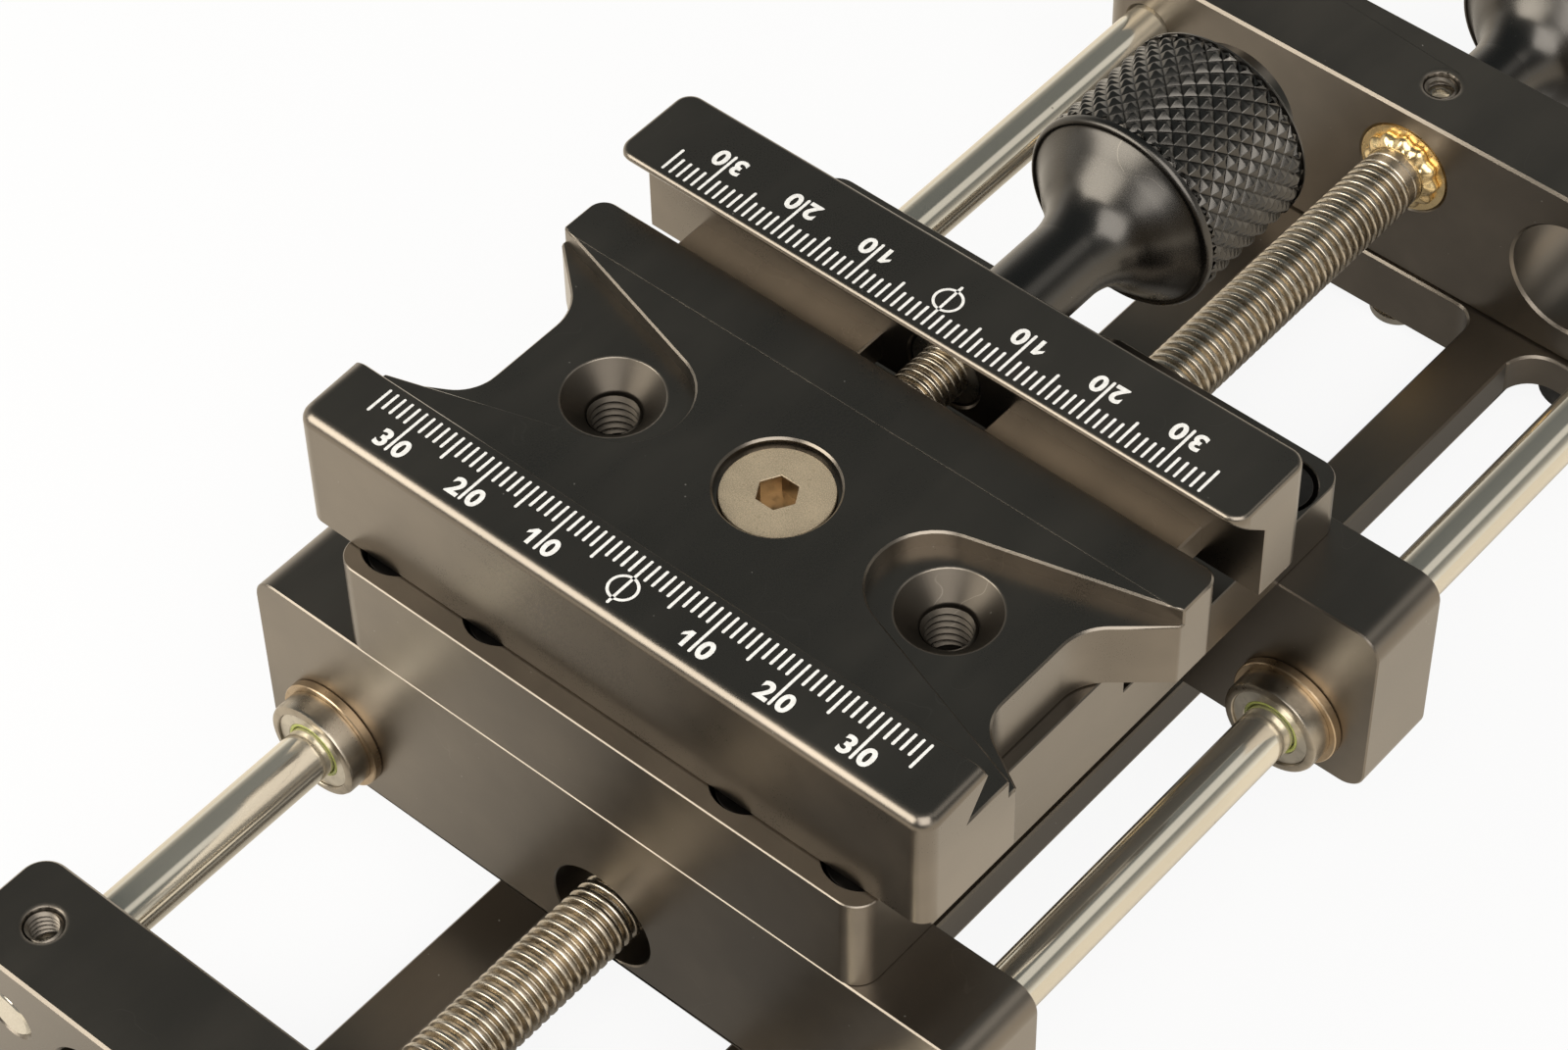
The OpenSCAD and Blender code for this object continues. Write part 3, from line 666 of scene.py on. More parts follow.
def turned_steel_finish(name, colour, rough, line, grime):
    """Turned steel: fine tool marks, a cloudy tint and some dark grease."""
    f = Finish(name)
    lines = f.noise(line, 2)
    cloud = f.noise(3.5, 3)
    grease = f.ramp(f.noise(1.4, 3, shift=(2, 7, 1)), 0.5, 0.72)
    tone = f.mix(f.ramp(cloud, 0.3, 0.7), shade(colour, 0.86), shade(colour, 1.12))
    tone = f.mix(grease * grime, tone, shade(colour, 0.35))
    roughness = rough + (cloud - 0.5) * 0.16 + (lines - 0.5) * 0.10 + grease * 0.1
    return f.surface(
        Base_Color=tone, Metallic=1.0, Roughness=roughness, Normal=f.bump(lines, 0.0008, 0.3))


def faced_finish(name, colour, middle):
    """The faced head of a bright screw: tooling rings round its own middle, fine flecks and stains."""
    f = Finish(name)
    k = 1 / MM
    spot = f.where((k, k, k), shift=tuple(-v * k for v in middle))
    rings = f.node("ShaderNodeTexWave", {
        "wave_type": "RINGS", "rings_direction": "Z", "wave_profile": "SIN"}, {
        "Vector": spot, "Scale": 2.4, "Distortion": 0.6, "Detail": 2.0, "Detail Scale": 1.5})
    cloud = f.noise(2.4, 3)
    fleck = f.noise(0.11, 3)
    mark = f.ramp(f.noise(0.35, 3, shift=(4, 4, 4)), 0.58, 0.72)
    tone = f.mix(f.ramp(cloud, 0.25, 0.8), shade(colour, 0.90), shade(colour, 1.06))
    tone = f.mix(f.ramp(fleck, 0.48, 0.68) * 0.75, tone, shade(colour, 1.5))
    tone = f.mix((1 - f.ramp(fleck, 0.30, 0.46)) * 0.6, tone, shade(colour, 0.5))
    tone = f.mix(mark * 0.3, tone, (0.24, 0.17, 0.10))
    tone = f.mix(f.ramp(rings, 0.2, 0.9) * 0.16, tone, shade(colour, 0.6))
    roughness = 0.42 + (cloud - 0.5) * 0.15 + (rings - 0.5) * 0.12
    normal = f.bump(rings, 0.010, 0.7, f.bump(fleck, 0.006, 0.5))
    return f.surface(Base_Color=tone, Metallic=0.5, Roughness=roughness, Normal=normal)


def brass_finish(name, colour):
    """Bright brass with a soft tarnish."""
    f = Finish(name)
    cloud = f.noise(1.6, 3)
    lines = f.noise(0.12, 2)
    tone = f.mix(f.ramp(cloud, 0.35, 0.7), shade(colour, 0.86), shade(colour, 1.04))
    roughness = 0.27 + (cloud - 0.5) * 0.10 + (lines - 0.5) * 0.06
    return f.surface(Base_Color=tone, Metallic=1.0, Roughness=roughness, Normal=f.bump(lines, 0.0003, 0.15))


def rubber_finish(name):
    """Matt black rubber with a moulded grain and a little dust."""
    f = Finish(name)
    grain = f.noise(0.3, 3)
    dust = f.ramp(f.noise(2.5, 3), 0.5, 0.75)
    tone = f.mix(dust * 0.4, (0.022, 0.021, 0.020), (0.075, 0.072, 0.068))
    return f.surface(
        Base_Color=tone, Metallic=0.0, Roughness=0.72 + (grain - 0.5) * 0.2, IOR=1.5,
        Normal=f.bump(grain, 0.03, 0.6))


def ink_finish(name, colour):
    """White filling of the engraved marks, slightly worn and dusty."""
    f = Finish(name)
    worn = f.ramp(f.noise(0.5, 3), 0.35, 0.62)
    tone = f.mix(worn, shade(colour, 0.86), colour)
    return f.surface(
        Base_Color=tone, Metallic=0.0, Roughness=0.55 + (worn - 0.5) * 0.1, IOR=1.5,
        Normal=f.bump(worn, 0.004, 0.4))


def seal_finish(name, colour):
    """Moulded plastic of a wiper seal, dull with oil."""
    f = Finish(name)
    cloud = f.noise(0.9, 3)
    tone = f.mix(cloud, shade(colour, 0.6), shade(colour, 1.3))
    return f.surface(
        Base_Color=tone, Metallic=0.0, Roughness=0.35 + (cloud - 0.5) * 0.2, IOR=1.5,
        Normal=f.bump(cloud, 0.01, 0.4))


# ---------------------------------------------------------------- pieces

class RAIL_OT_finishes(bpy.types.Operator):
    """Mix the finishes of the rail"""
    bl_idname = "rail.finishes"
    bl_label = "Finishes"

    def execute(self, context):
        c = context.scene.rail_colours
        FINISHES.update({
            "black": black_finish("black_anodised", tuple(c.black)),
            "jaw": black_finish("black_anodised_jaws", tuple(c.black), 0.30, 0.7),
            # the walls of the holes: a rougher copy of the black, its colour darkened as painted shade in the
            # recesses
            "cone": black_finish("black_anodised_holes_painted_shade", shade(tuple(c.black), 0.42), 0.42, 0.4, 0.12),
            "knob": black_finish("knob_black", tuple(c.knob), 0.29, 0.35, 0.22),
            "rod": polished_finish("rod_steel", tuple(c.steel)),
            "screw": turned_steel_finish("screw_steel", tuple(c.screw), 0.25, 0.12, 0.12),
            "bearing": turned_steel_finish("bearing_steel", tuple(c.bearing), 0.30, 0.3, 0.2),
            "bearing_end": turned_steel_finish("bearing_end_steel", (0.62, 0.58, 0.50), 0.34, 0.2, 0.3),
            "bronze": turned_steel_finish("clip_bronze", tuple(c.bronze), 0.30, 0.2, 0.2),
            "brass": brass_finish("brass", tuple(c.brass)),
            "nickel": faced_finish("centre_screw_nickel", tuple(c.nickel), (0, HOLE_Y, JAW_TOP)),
            "socket": turned_steel_finish("centre_screw_socket", (0.36, 0.27, 0.17), 0.32, 0.2, 0.4),
            "fastener": turned_steel_finish("fastener_steel", (0.55, 0.51, 0.44), 0.28, 0.2, 0.3),
            "dark_fastener": turned_steel_finish("fastener_black", (0.10, 0.09, 0.08), 0.34, 0.2, 0.3),
            "rubber": rubber_finish("foot_rubber"),
            "ink": ink_finish("scale_white", tuple(c.scale)),
            "seal": seal_finish("seal_plastic", tuple(c.seal)),
        })
        return {"FINISHED"}


def widen_hole(piece, x, y, z0, z1, radius, wider):
    """Widens the wall of an upright hole between two heights."""
    pick_points(piece, lambda co: z0 < co.z < z1
                and abs(math.hypot(co.x - x, co.y - y) - radius) < 0.06 * MM)
    k = wider / radius
    bpy.ops.transform.resize(value=(k, k, 1), center_override=(x, y, (z0 + z1) / 2))
    return done_editing(piece)


def recut_hole(piece, x, y, top, rim, wall, bottom, bore):
    """Cuts a countersunk hole again with even walls: from its rim down the cone, then down the wall."""
    def from_axis(co):
        return math.hypot(co.x - x, co.y - y)

    near = 0.04 * MM
    pick_faces(piece, lambda c, n: from_axis(c) < rim - near
               and bottom + near < c.z < top - near and abs(n.z) < 0.9)
    bpy.ops.mesh.delete(type="FACE")
    done_editing(piece)
    widen_hole(piece, x, y, bottom - near, bottom + near, bore, wall)

    def on_ring(z, radius):
        return lambda p, q: all(abs(v.z - z) < near and abs(from_axis(v) - radius) < near for v in (p, q))

    pick_edges(piece, on_ring(top, rim))
    for radius, z in ((wall, top - (rim - wall)), (wall, bottom + 0.3 * MM)):
        k = radius / rim
        bpy.ops.mesh.extrude_edges_move(TRANSFORM_OT_translate={"value": (0, 0, z - top)})
        bpy.ops.transform.resize(value=(k, k, 1), center_override=(x, y, z))
        rim, top = radius, z
    done_editing(piece)
    low, high = on_ring(bottom, wall), on_ring(bottom + 0.3 * MM, wall)
    pick_edges(piece, lambda p, q: low(p, q) or high(p, q))
    bpy.ops.mesh.bridge_edge_loops()
    bpy.ops.mesh.select_mode(type="VERT")
    bpy.ops.mesh.select_all(action="SELECT")
    bpy.ops.mesh.normals_make_consistent(inside=False)
    return done_editing(piece)


def tapped_wall(name, x, y, z0, z1, major, minor, pitch):
    """The thread cut in the wall of an upright hole: crests at the minor radius, roots at the major one."""
    section = [(0.0, major), (0.08, major), (0.42, minor), (0.58, minor), (0.92, major), (1.0, major)]
    return flip(thread(name, Vector((x, y, z0)), Z, pitch, z1 - z0, section, steps=32))


def facing_in(piece, x, y):
    """Turns the faces of a hole's wall towards its axis."""
    faces = piece.data.polygons
    inward = sum(1 if (Vector((x, y, f.center.z)) - f.center).dot(f.normal) > 0 else -1 for f in faces)
    return flip(piece) if inward < 0 else piece


class RAIL_OT_base(bpy.types.Operator):
    """Machine the base plate, its threaded sockets and the two end blocks"""
    bl_idname = "rail.base"
    bl_label = "Base plate and end blocks"

    def execute(self, context):
        edge = context.scene.rail_sizes.edge
        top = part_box("base_plate")[1].z
        plate = solid_of("base_plate_machined", "base_plate")
        coils = []
        for y, minor, major, pitch in SOCKETS:
            widen_hole(plate, 0, y * MM, -MM, top + MM, minor * MM, major * MM)
            coils.append(tapped_wall(
                "socket_thread", 0, y * MM, 0.3 * MM, top - 0.3 * MM, major + 0.02, minor, pitch * MM))
        break_edges(plate, edge)
        smooth(plate)
        for coil, socket in zip(coils, SOCKETS):
            smooth(facing_in(coil, 0, socket[0] * MM), 50, weighted=False)
        place(join("base_plate_machined", plate, *coils), "base", "black_anodised",
              FINISHES["black"], "base_plate")
        for name, node in (
                ("near_block_machined", "near_end_block"), ("far_block_machined", "far_end_block")):
            block = solid_of(name, node)
            break_edges(block, edge * 1.2)
            smooth(block)
            lo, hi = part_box(node)
            y = (lo.y + hi.y) / 2
            # only the far block has a set screw over the lead screw's bearing
            spots = (-ROD_X, ROD_X, 0) if node == "far_end_block" else (-ROD_X, ROD_X)
            walls = []
            for x in spots:
                deep = ROD_SCREW_DEPTH if x else BEARING_SCREW_DEPTH
                wall = tapped_wall("set_screw_thread", x, y, hi.z - deep, hi.z - 0.5 * MM, *SET_SCREW_THREAD)
                walls.append(smooth(facing_in(wall, x, y), 50, weighted=False))
            place(join(name, block, *walls), "base", "black_anodised", FINISHES["black"], node)
        return {"FINISHED"}


class RAIL_OT_carriage(bpy.types.Operator):
    """Machine the two bearing blocks and the stepped top plate"""
    bl_idname = "rail.carriage"
    bl_label = "Bearing blocks and top plate"

    def execute(self, context):
        edge = context.scene.rail_sizes.edge
        for name, node in (("front_block_machined", "front_block"), ("rear_block_machined", "rear_block")):
            block = solid_of(name, node)
            break_edges(block, edge * 0.6)
            place(smooth(block), "carriage", "black_anodised", FINISHES["black"], node)
        plate = solid_of("top_plate_machined", "top_plate")
        break_edges(plate, edge * 0.45)
        place(smooth(plate), "carriage", "black_anodised", FINISHES["black"], "top_plate")
        return {"FINISHED"}


class RAIL_OT_clamp(bpy.types.Operator):
    """Machine the fixed jaw with its scalloped body, pockets and tapped holes"""
    bl_idname = "rail.clamp"
    bl_label = "Clamp body"

    def execute(self, context):
        sizes = context.scene.rail_sizes
        lo, hi = CLAMP
        body = solid_of("clamp_body_machined", "clamp_body")
        for side in (-1, 1):
            recut_hole(body, side * HOLE_X, HOLE_Y, POCKET_Z, HOLE_RIM, HOLE_WALL, lo.z, HOLE_BORE)

        def on_rim(co):
            inside = co.y > lo.y + 2.1 * MM and abs(co.x) < hi.x - NEAR
            return co.z > JAW_TOP - NEAR and co.y < LIP_Y + NEAR and not inside

        # the round along the top front edge of the fixed jaw and down its two ends
        pick_edges(body, lambda p, q: on_rim(p) and on_rim(q) and min(p.y, q.y) < LIP_Y - NEAR)
        round_edges(body, sizes.jaw_edge, 7)
        # the fine tool line along the rear bar
        for side in (-1, 0, 1):
            y = TOOL_LINE_Y + side * 0.16 * MM
            pick_faces(body, lambda c, n: abs(c.z - FLOOR_Z) < NEAR and n.z > 0.9)
            bpy.ops.mesh.bisect(plane_co=(0, y, 0), plane_no=(0, 1, 0), threshold=1e-7)
            done_editing(body)
        pick_points(body, lambda co: abs(co.y - TOOL_LINE_Y) < 0.02 * MM and abs(co.z - FLOOR_Z) < NEAR)
        bpy.ops.transform.translate(value=(0, 0, -0.10 * MM))
        done_editing(body)
        break_edges(body, sizes.edge * 0.8, angle=38)
        smooth(level_top(body, JAW_TOP))
        coils = []
        for side in (-1, 1):
            coil = tapped_wall(
                "hole_thread", side * HOLE_X, HOLE_Y, lo.z + 0.2 * MM, POCKET_Z - 3.05 * MM, *POCKET_THREAD)
            coils.append(smooth(facing_in(coil, side * HOLE_X, HOLE_Y), 50, weighted=False))
        piece = place(join("clamp_body_machined", body, *coils), "carriage", "black_anodised",
                      FINISHES["jaw"], "clamp_body")
        # the countersinks and the threads in the holes take the finish with painted shade
        for side in (-1, 1):
            finish_faces(piece, FINISHES["cone"], lambda c, n: c.z < POCKET_Z - NEAR
                         and math.hypot(c.x - side * HOLE_X, c.y - HOLE_Y) < HOLE_RIM - 0.02 * MM)
        return {"FINISHED"}


class RAIL_OT_moving_jaw(bpy.types.Operator):
    """Machine the moving jaw with its tongues"""
    bl_idname = "rail.moving_jaw"
    bl_label = "Moving jaw"

    def execute(self, context):
        sizes = context.scene.rail_sizes
        lo, hi = JAW
        jaw = solid_of("moving_jaw_machined", "moving_jaw")

        def on_end(co):
            return co.z > JAW_TOP - NEAR and abs(co.x) > hi.x - 2.1 * MM and co.y > lo.y - NEAR

        pick_edges(jaw, lambda p, q: on_end(p) and on_end(q))
        round_edges(jaw, sizes.jaw_edge * 0.4, 4)
        break_edges(jaw, sizes.edge * 0.8, angle=38)
        place(smooth(level_top(jaw, JAW_TOP)), "jaw", "black_anodised", FINISHES["jaw"], "moving_jaw")
        return {"FINISHED"}


def stroke(name, x, y0, y1, width, z):
    """One filled line of a scale, with round ends."""
    deselect_all()
    bpy.ops.mesh.primitive_circle_add(vertices=16, radius=width / 2, fill_type="NGON", location=(x, y0, z))
    piece = bpy.context.object
    piece.name = name
    settle(piece)
    forward = 1 if y1 > y0 else -1
    pick_points(piece, lambda co: (co.y - y0) * forward > -1e-6)
    bpy.ops.transform.translate(value=(0, y1 - y0, 0))
    return done_editing(piece)


def figure_one(height):
    """The figure 1: an upright with a short flag."""
    h, w, f = height * 0.47, height * 0.105, height * 0.36
    outline = (
        (-w, -h), (w, -h), (w, h), (-w, h),
        (-w - f * 0.72, h - f * 0.80), (-w - f * 0.72, h - f * 1.30), (-w, h - f * 0.78))
    piece = wire("figure", [Vector((a + w * 0.4, b, 0)) for a, b in outline])
    edit_all(piece)
    bpy.ops.mesh.edge_face_add()
    return done_editing(piece)


def figure(name, text, x, y, z, height, half_turn):
    """A figure of a scale, made a mesh, its place given by its middle."""
    turn = math.pi if half_turn else 0
    if text == "1":
        piece = figure_one(height)
        piece.matrix_world = Matrix.Translation((x, y, z)) @ Matrix.Rotation(turn, 4, "Z")
        return settle(piece)
    deselect_all()
    bpy.ops.object.text_add(location=(0, 0, 0))
    piece = bpy.context.object
    piece.data.body = text
    piece.data.align_x, piece.data.align_y = "CENTER", "CENTER"
    piece.data.size = height * 1.36
    piece.data.offset = height * 0.050
    piece.data.resolution_u = 6
    only(piece)
    bpy.ops.object.convert(target="MESH")
    piece = bpy.context.object
    piece.name = name
    bpy.ops.object.origin_set(type="ORIGIN_GEOMETRY", center="BOUNDS")
    piece.location = (x, y, z)
    piece.rotation_euler = (0, 0, turn)
    return settle(piece)


def zero_mark(name, x, y, z, outer, width):
    """The round zero that the middle line runs through."""
    deselect_all()
    bpy.ops.mesh.primitive_circle_add(vertices=48, radius=outer, fill_type="NGON", location=(x, y, z))
    piece = bpy.context.object
    piece.name = name
    settle(piece)
    edit_all(piece)
    bpy.ops.mesh.inset(thickness=width, depth=0)
    bpy.ops.mesh.delete(type="FACE")
    return done_editing(piece)


def line_length(x):
    """The length of a scale's line in mm: longer at every fifth and tenth, and longest in the middle."""
    if x % 10 == 0:
        return 5.95 if x else 6.43
    return 3.2 if x % 5 == 0 else 2.15


def scale_marks(name, start, direction, sizes, half_turn):
    """A millimetre scale from -35 to 35 along X, its lines running from start."""
    z = JAW_TOP + 0.012 * MM
    marks = []
    for x in range(-35, 36):
        stop = start + direction * line_length(x) * MM
        marks.append(stroke("line", x * MM, start, stop, sizes.tick, z))
    middle = start + direction * 4.95 * MM
    gap = 1.2 * MM * (1 if half_turn else -1)
    for x in (-30, -20, -10, 10, 20, 30):
        for text, side in zip(str(abs(x)), (gap, -gap)):
            marks.append(figure("figure", text, x * MM + side, middle, z, sizes.figure, half_turn))
    marks.append(zero_mark("zero", 0, start + direction * 4.2 * MM, z, 1.69 * MM, 0.31 * MM))
    piece = join(name, *marks)
    # the extrusion by nothing and the weld leave one flat layer, in which some marks face down
    edit_all(piece)
    bpy.ops.mesh.normals_make_consistent(inside=False)
    bpy.ops.mesh.extrude_region_move(TRANSFORM_OT_translate={"value": (0, 0, 0)})
    done_editing(piece)
    weld(piece, 1e-7)
    return flip(piece) if sum(f.normal.z for f in piece.data.polygons) < 0 else piece


class RAIL_OT_scales(bpy.types.Operator):
    """Fill the two engraved millimetre scales"""
    bl_idname = "rail.scales"
    bl_label = "Scales"

    def execute(self, context):
        sizes = context.scene.rail_sizes
        fixed = scale_marks("fixed_jaw_scale", FIXED_SCALE_Y, -1, sizes, False)
        place(fixed, "carriage", "black_anodised", FINISHES["ink"])
        moving = scale_marks("moving_jaw_scale", MOVING_LIP + 1.02 * MM, 1, sizes, True)
        place(moving, "jaw", "black_anodised", FINISHES["ink"])
        return {"FINISHED"}


def knob(name, node, foot, stem, sizes):
    """A turned knob: stem, hollow neck, round bell and a diamond knurl."""
    knob_r, stem_r, bell_len = 12.0, 4.6, 9.64
    length = (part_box(node)[1].y - foot.y) / MM
    # hollow neck, shallow bell, a narrow step and the round of the rim
    bell = flowing([(stem + a, r) for a, r in (
        (0, stem_r), (0.8, 4.68), (1.7, 4.85), (2.7, 5.15), (3.6, 5.6), (4.4, 6.15), (5.05, 6.8),
        (5.65, 7.5), (6.3, 8.2), (7.0, 8.9), (7.7, 9.55), (8.35, 10.2), (8.8, 10.7), (9.05, 11.05))], 3)
    bell += [(stem + a, r) for a, r in (
        (9.08, 11.15), (9.02, 11.3), (9.02, 11.45), (9.08, 11.65), (9.22, 11.83), (9.42, 11.95),
        (bell_len, knob_r))]
    grip = stem + bell_len + 0.35
    end = length - 0.5
    base = knob_r - sizes.knurl_depth / MM - 0.03
    # the bore in the stem, the bell, the bed of the knurl, and the face with its shallow groove
    outline = [(12.2, 0), (12.2, 3.05), (0, 3.05), (0, stem_r - 0.3), (0.3, stem_r)] + bell + [
        (grip - 0.12, knob_r), (grip, base), (end - 0.35, base), (end - 0.25, knob_r - 0.12),
        (end, knob_r - 0.16), (length - 0.12, knob_r - 0.62), (length, knob_r - 0.9), (length, 8.6),
        (length - 0.45, 8.2), (length - 0.45, 0)]
    body = smooth(turned(name, foot, Y, outline, steps=88), 30)
    sleeve = knurl("knurl", foot, grip - 0.02, end - 0.3, knob_r - 0.02, sizes)
    return join(name, body, sleeve)


def knurl(name, foot, start, stop, radius, sizes):
    """A sleeve of raised diamonds: a tube's faces split crosswise, then every diamond inset and raised."""
    count = sizes.knurl_count
    rows = max(2, round((stop - start) / (2 * math.pi * radius / count * 0.965)))
    length = (stop - start) * MM
    step = length / rows
    depth = sizes.knurl_depth
    deselect_all()
    bpy.ops.mesh.primitive_cylinder_add(
        vertices=count, radius=radius * MM - depth, depth=step, end_fill_type="NOTHING",
        location=(0, 0, step / 2))
    piece = bpy.context.object
    piece.name = name
    settle(piece)
    use_modifier(piece, "ARRAY", count=rows, use_relative_offset=False, use_constant_offset=True,
                 constant_offset_displace=(0, 0, step), use_merge_vertices=True, merge_threshold=1e-5)
    edit(piece)
    bpy.ops.mesh.select_mode(type="FACE")
    bpy.ops.mesh.select_all(action="SELECT")
    bpy.ops.mesh.poke(offset=0)
    done_editing(piece)

    def straight(p, q):
        level = abs(p.z - q.z) < 1e-6
        upright = abs(p.x - q.x) + abs(p.y - q.y) < 1e-6
        rim = level and (p.z < 1e-6 or p.z > length - 1e-6)
        return (level or upright) and not rim

    pick_edges(piece, straight)
    bpy.ops.mesh.dissolve_edges(use_verts=False)
    done_editing(piece)
    # the middles of the tube's faces come out to its radius
    pick_points(piece, lambda co: abs((co.z / step) % 1 - 0.5) < 0.1)
    k = 1 / math.cos(math.pi / count)
    bpy.ops.transform.resize(value=(k, k, 1), center_override=(0, 0, 0))
    done_editing(piece)
    edit(piece)
    bpy.ops.mesh.select_mode(type="FACE")
    bpy.ops.mesh.select_all(action="SELECT")
    bpy.ops.mesh.inset(use_individual=True, thickness=0.66 * MM, depth=depth * 0.98, use_even_offset=True)
    done_editing(piece)
    break_edges(piece, 0.05 * MM, segments=1, angle=25)
    turn = Z.rotation_difference(Y).to_matrix().to_4x4()
    piece.matrix_world = Matrix.Translation(foot + Y * (start * MM)) @ turn
    return smooth(settle(piece), 20, weighted=False)


class RAIL_OT_knobs(bpy.types.Operator):
    """Turn and knurl the clamp knob and the focus knob"""
    bl_idname = "rail.knobs"
    bl_label = "Knobs"

    def execute(self, context):
        sizes = context.scene.rail_sizes
        for node, pin, z, body in (
                ("clamp_knob", "clamp_knob_pin", CLAMP_Z, "clamp_drive"),
                ("focus_knob", "focus_knob_screw", LEAD_Z, "focus_screw")):
            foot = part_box(node)[0].y
            # the pin sits halfway along the stem
            stem = (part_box(pin)[0].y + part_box(pin)[1].y) / MM - 2 * foot / MM
            made = knob(f"{node}_turned", node, Vector((0, foot, z)), stem, sizes)
            place(made, body, "knob_black", FINISHES["knob"], node)
        return {"FINISHED"}


def thread_root(outer, pitch):
    """The radius at the foot of a spindle's thread, in mm."""
    return outer - THREAD_DEPTH * pitch / MM


def spindle(name, foot, start, stop, outer, pitch, ends):
    """A threaded spindle along Y: the wound thread, closed at its ends, and the turned core in it."""
    root = thread_root(outer, pitch)
    section = [
        (0.0, root), (0.07, root + 0.03), (0.20, outer - 0.20), (0.26, outer - 0.06), (0.33, outer),
        (0.67, outer), (0.74, outer - 0.06), (0.80, outer - 0.20), (0.93, root + 0.03), (1.0, root)]
    ridge = thread(name, foot + Y * start, Y, pitch, stop - start, section, steps=36, closed=True)
    smooth(outwards(ridge), 42, weighted=False)
    core = smooth(turned("core", foot, Y, ends, steps=48), 30)
    return join(name, ridge, core)


class RAIL_OT_lead_screw(bpy.types.Operator):
    """Cut the lead screw and its brass lock ring"""
    bl_idname = "rail.lead_screw"
    bl_label = "Lead screw"

    def execute(self, context):
        sizes = context.scene.rail_sizes
        lo, hi = LEAD
        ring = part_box("lock_ring")
        start, stop = LEAD_THREAD_START, ring[0].y - 2.4 * MM
        outer = (hi.z - lo.z) / 2 / MM
        root = thread_root(outer, sizes.lead_pitch) - CORE_GAP
        foot = Vector((0, 0, LEAD_Z))
        a, b, c, d = (v / MM for v in (lo.y, start, stop, hi.y))
        collar = ring[0].y / MM
        ends = [
            (a, 0), (a, 2.5), (a + 0.5, 3), (b + 0.3, 3), (b + 0.3, root), (c - 0.3, root), (c - 0.3, 3.6),
            (c - 0.05, 3.82), (c + 0.95, 3.82), (c + 1.05, 3.7), (c + 1.25, 3.7), (c + 1.35, 3.82),
            (collar, 3.82), (collar, 3), (d - 0.5, 3), (d, 2.5), (d, 0)]
        made = spindle("lead_screw_cut", foot, start, stop, outer, sizes.lead_pitch, ends)
        place(made, "focus_screw", "screw_steel", FINISHES["screw"], "lead_screw")
        self.lock_ring(ring)
        return {"FINISHED"}

    def lock_ring(self, box):
        """The lock ring: a thin domed washer, its rim pressed into waves."""
        foot = Vector((0, box[0].y, LEAD_Z))
        thick = (box[1].y - box[0].y) / MM
        rim = (box[1].z - box[0].z) / 2 / MM
        outline = [
            (0, 3.86), (0, 4.05), (0.09, 4.26), (0.28, rim - 0.62), (0.50, rim - 0.32), (0.75, rim - 0.10),
            (1.0, rim), (thick - 0.08, rim), (thick, rim - 0.06), (thick, 3.86), (0, 3.86)]
        steps = WAVES * WAVE_STEPS
        ring = turned("lock_ring_pressed", foot, Y, outline, steps=steps)
        for phase in range(1, WAVE_STEPS):
            k = 1 - WAVE_DEPTH * (0.5 - 0.5 * math.cos(2 * math.pi * phase / WAVE_STEPS))

            def in_phase(co):
                x, z = co.x - foot.x, co.z - foot.z
                late = math.degrees(math.atan2(x, z)) / (360 / steps) - phase
                half = WAVE_STEPS / 2
                return math.hypot(x, z) > 4.2 * MM and abs((late + half) % WAVE_STEPS - half) < 0.3

            pick_points(ring, in_phase)
            bpy.ops.transform.resize(value=(k, 1, k), center_override=foot)
            done_editing(ring)
        smooth(ring, 75)
        place(ring, "focus_screw", "brass", FINISHES["brass"], "lock_ring")


class RAIL_OT_clamp_screw(bpy.types.Operator):
    """Cut the clamp screw"""
    bl_idname = "rail.clamp_screw"
    bl_label = "Clamp screw"

    def execute(self, context):
        sizes = context.scene.rail_sizes
        lo, hi = CLAMP_SCREW
        outer = (hi.z - lo.z) / 2 / MM
        root = thread_root(outer, sizes.clamp_pitch) - CORE_GAP
        foot = Vector((0, 0, CLAMP_Z))
        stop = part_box("jaw_retaining_ring")[0].y
        a, b, c = (v / MM for v in (lo.y, stop, hi.y))
        ends = [
            (a, 0), (a, root - 0.4), (a + 0.4, root), (b, root), (b, outer), (c - 0.4, outer),
            (c, outer - 0.4), (c, 0)]
        made = spindle("clamp_screw_cut", foot, lo.y + 0.3 * MM, stop, outer, sizes.clamp_pitch, ends)
        place(made, "clamp_drive", "screw_steel", FINISHES["screw"], "clamp_screw")
        return {"FINISHED"}


class RAIL_OT_rods(bpy.types.Operator):
    """Grind the two guide rods"""
    bl_idname = "rail.rods"
    bl_label = "Guide rods"

    def execute(self, context):
        lo, hi = ROD
        length = (hi.y - lo.y) / MM
        r = (hi.z - lo.z) / 2 / MM
        outline = [(0, 0), (0, r - 0.4), (0.1, r - 0.25), (0.35, r)]
        outline += [(length * i / 8, r) for i in range(1, 8)]
        outline += [(length - 0.35, r), (length - 0.1, r - 0.25), (length, r - 0.4), (length, 0)]
        for name, side in (("left_rod_ground", -1), ("right_rod_ground", 1)):
            rod = turned(name, Vector((side * ROD_X, lo.y, ROD_Z)), Y, outline, steps=72)
            smooth(rod, 30)
            place(rod, "base", "rod_steel", FINISHES["rod"], name.replace("_ground", ""))
        return {"FINISHED"}


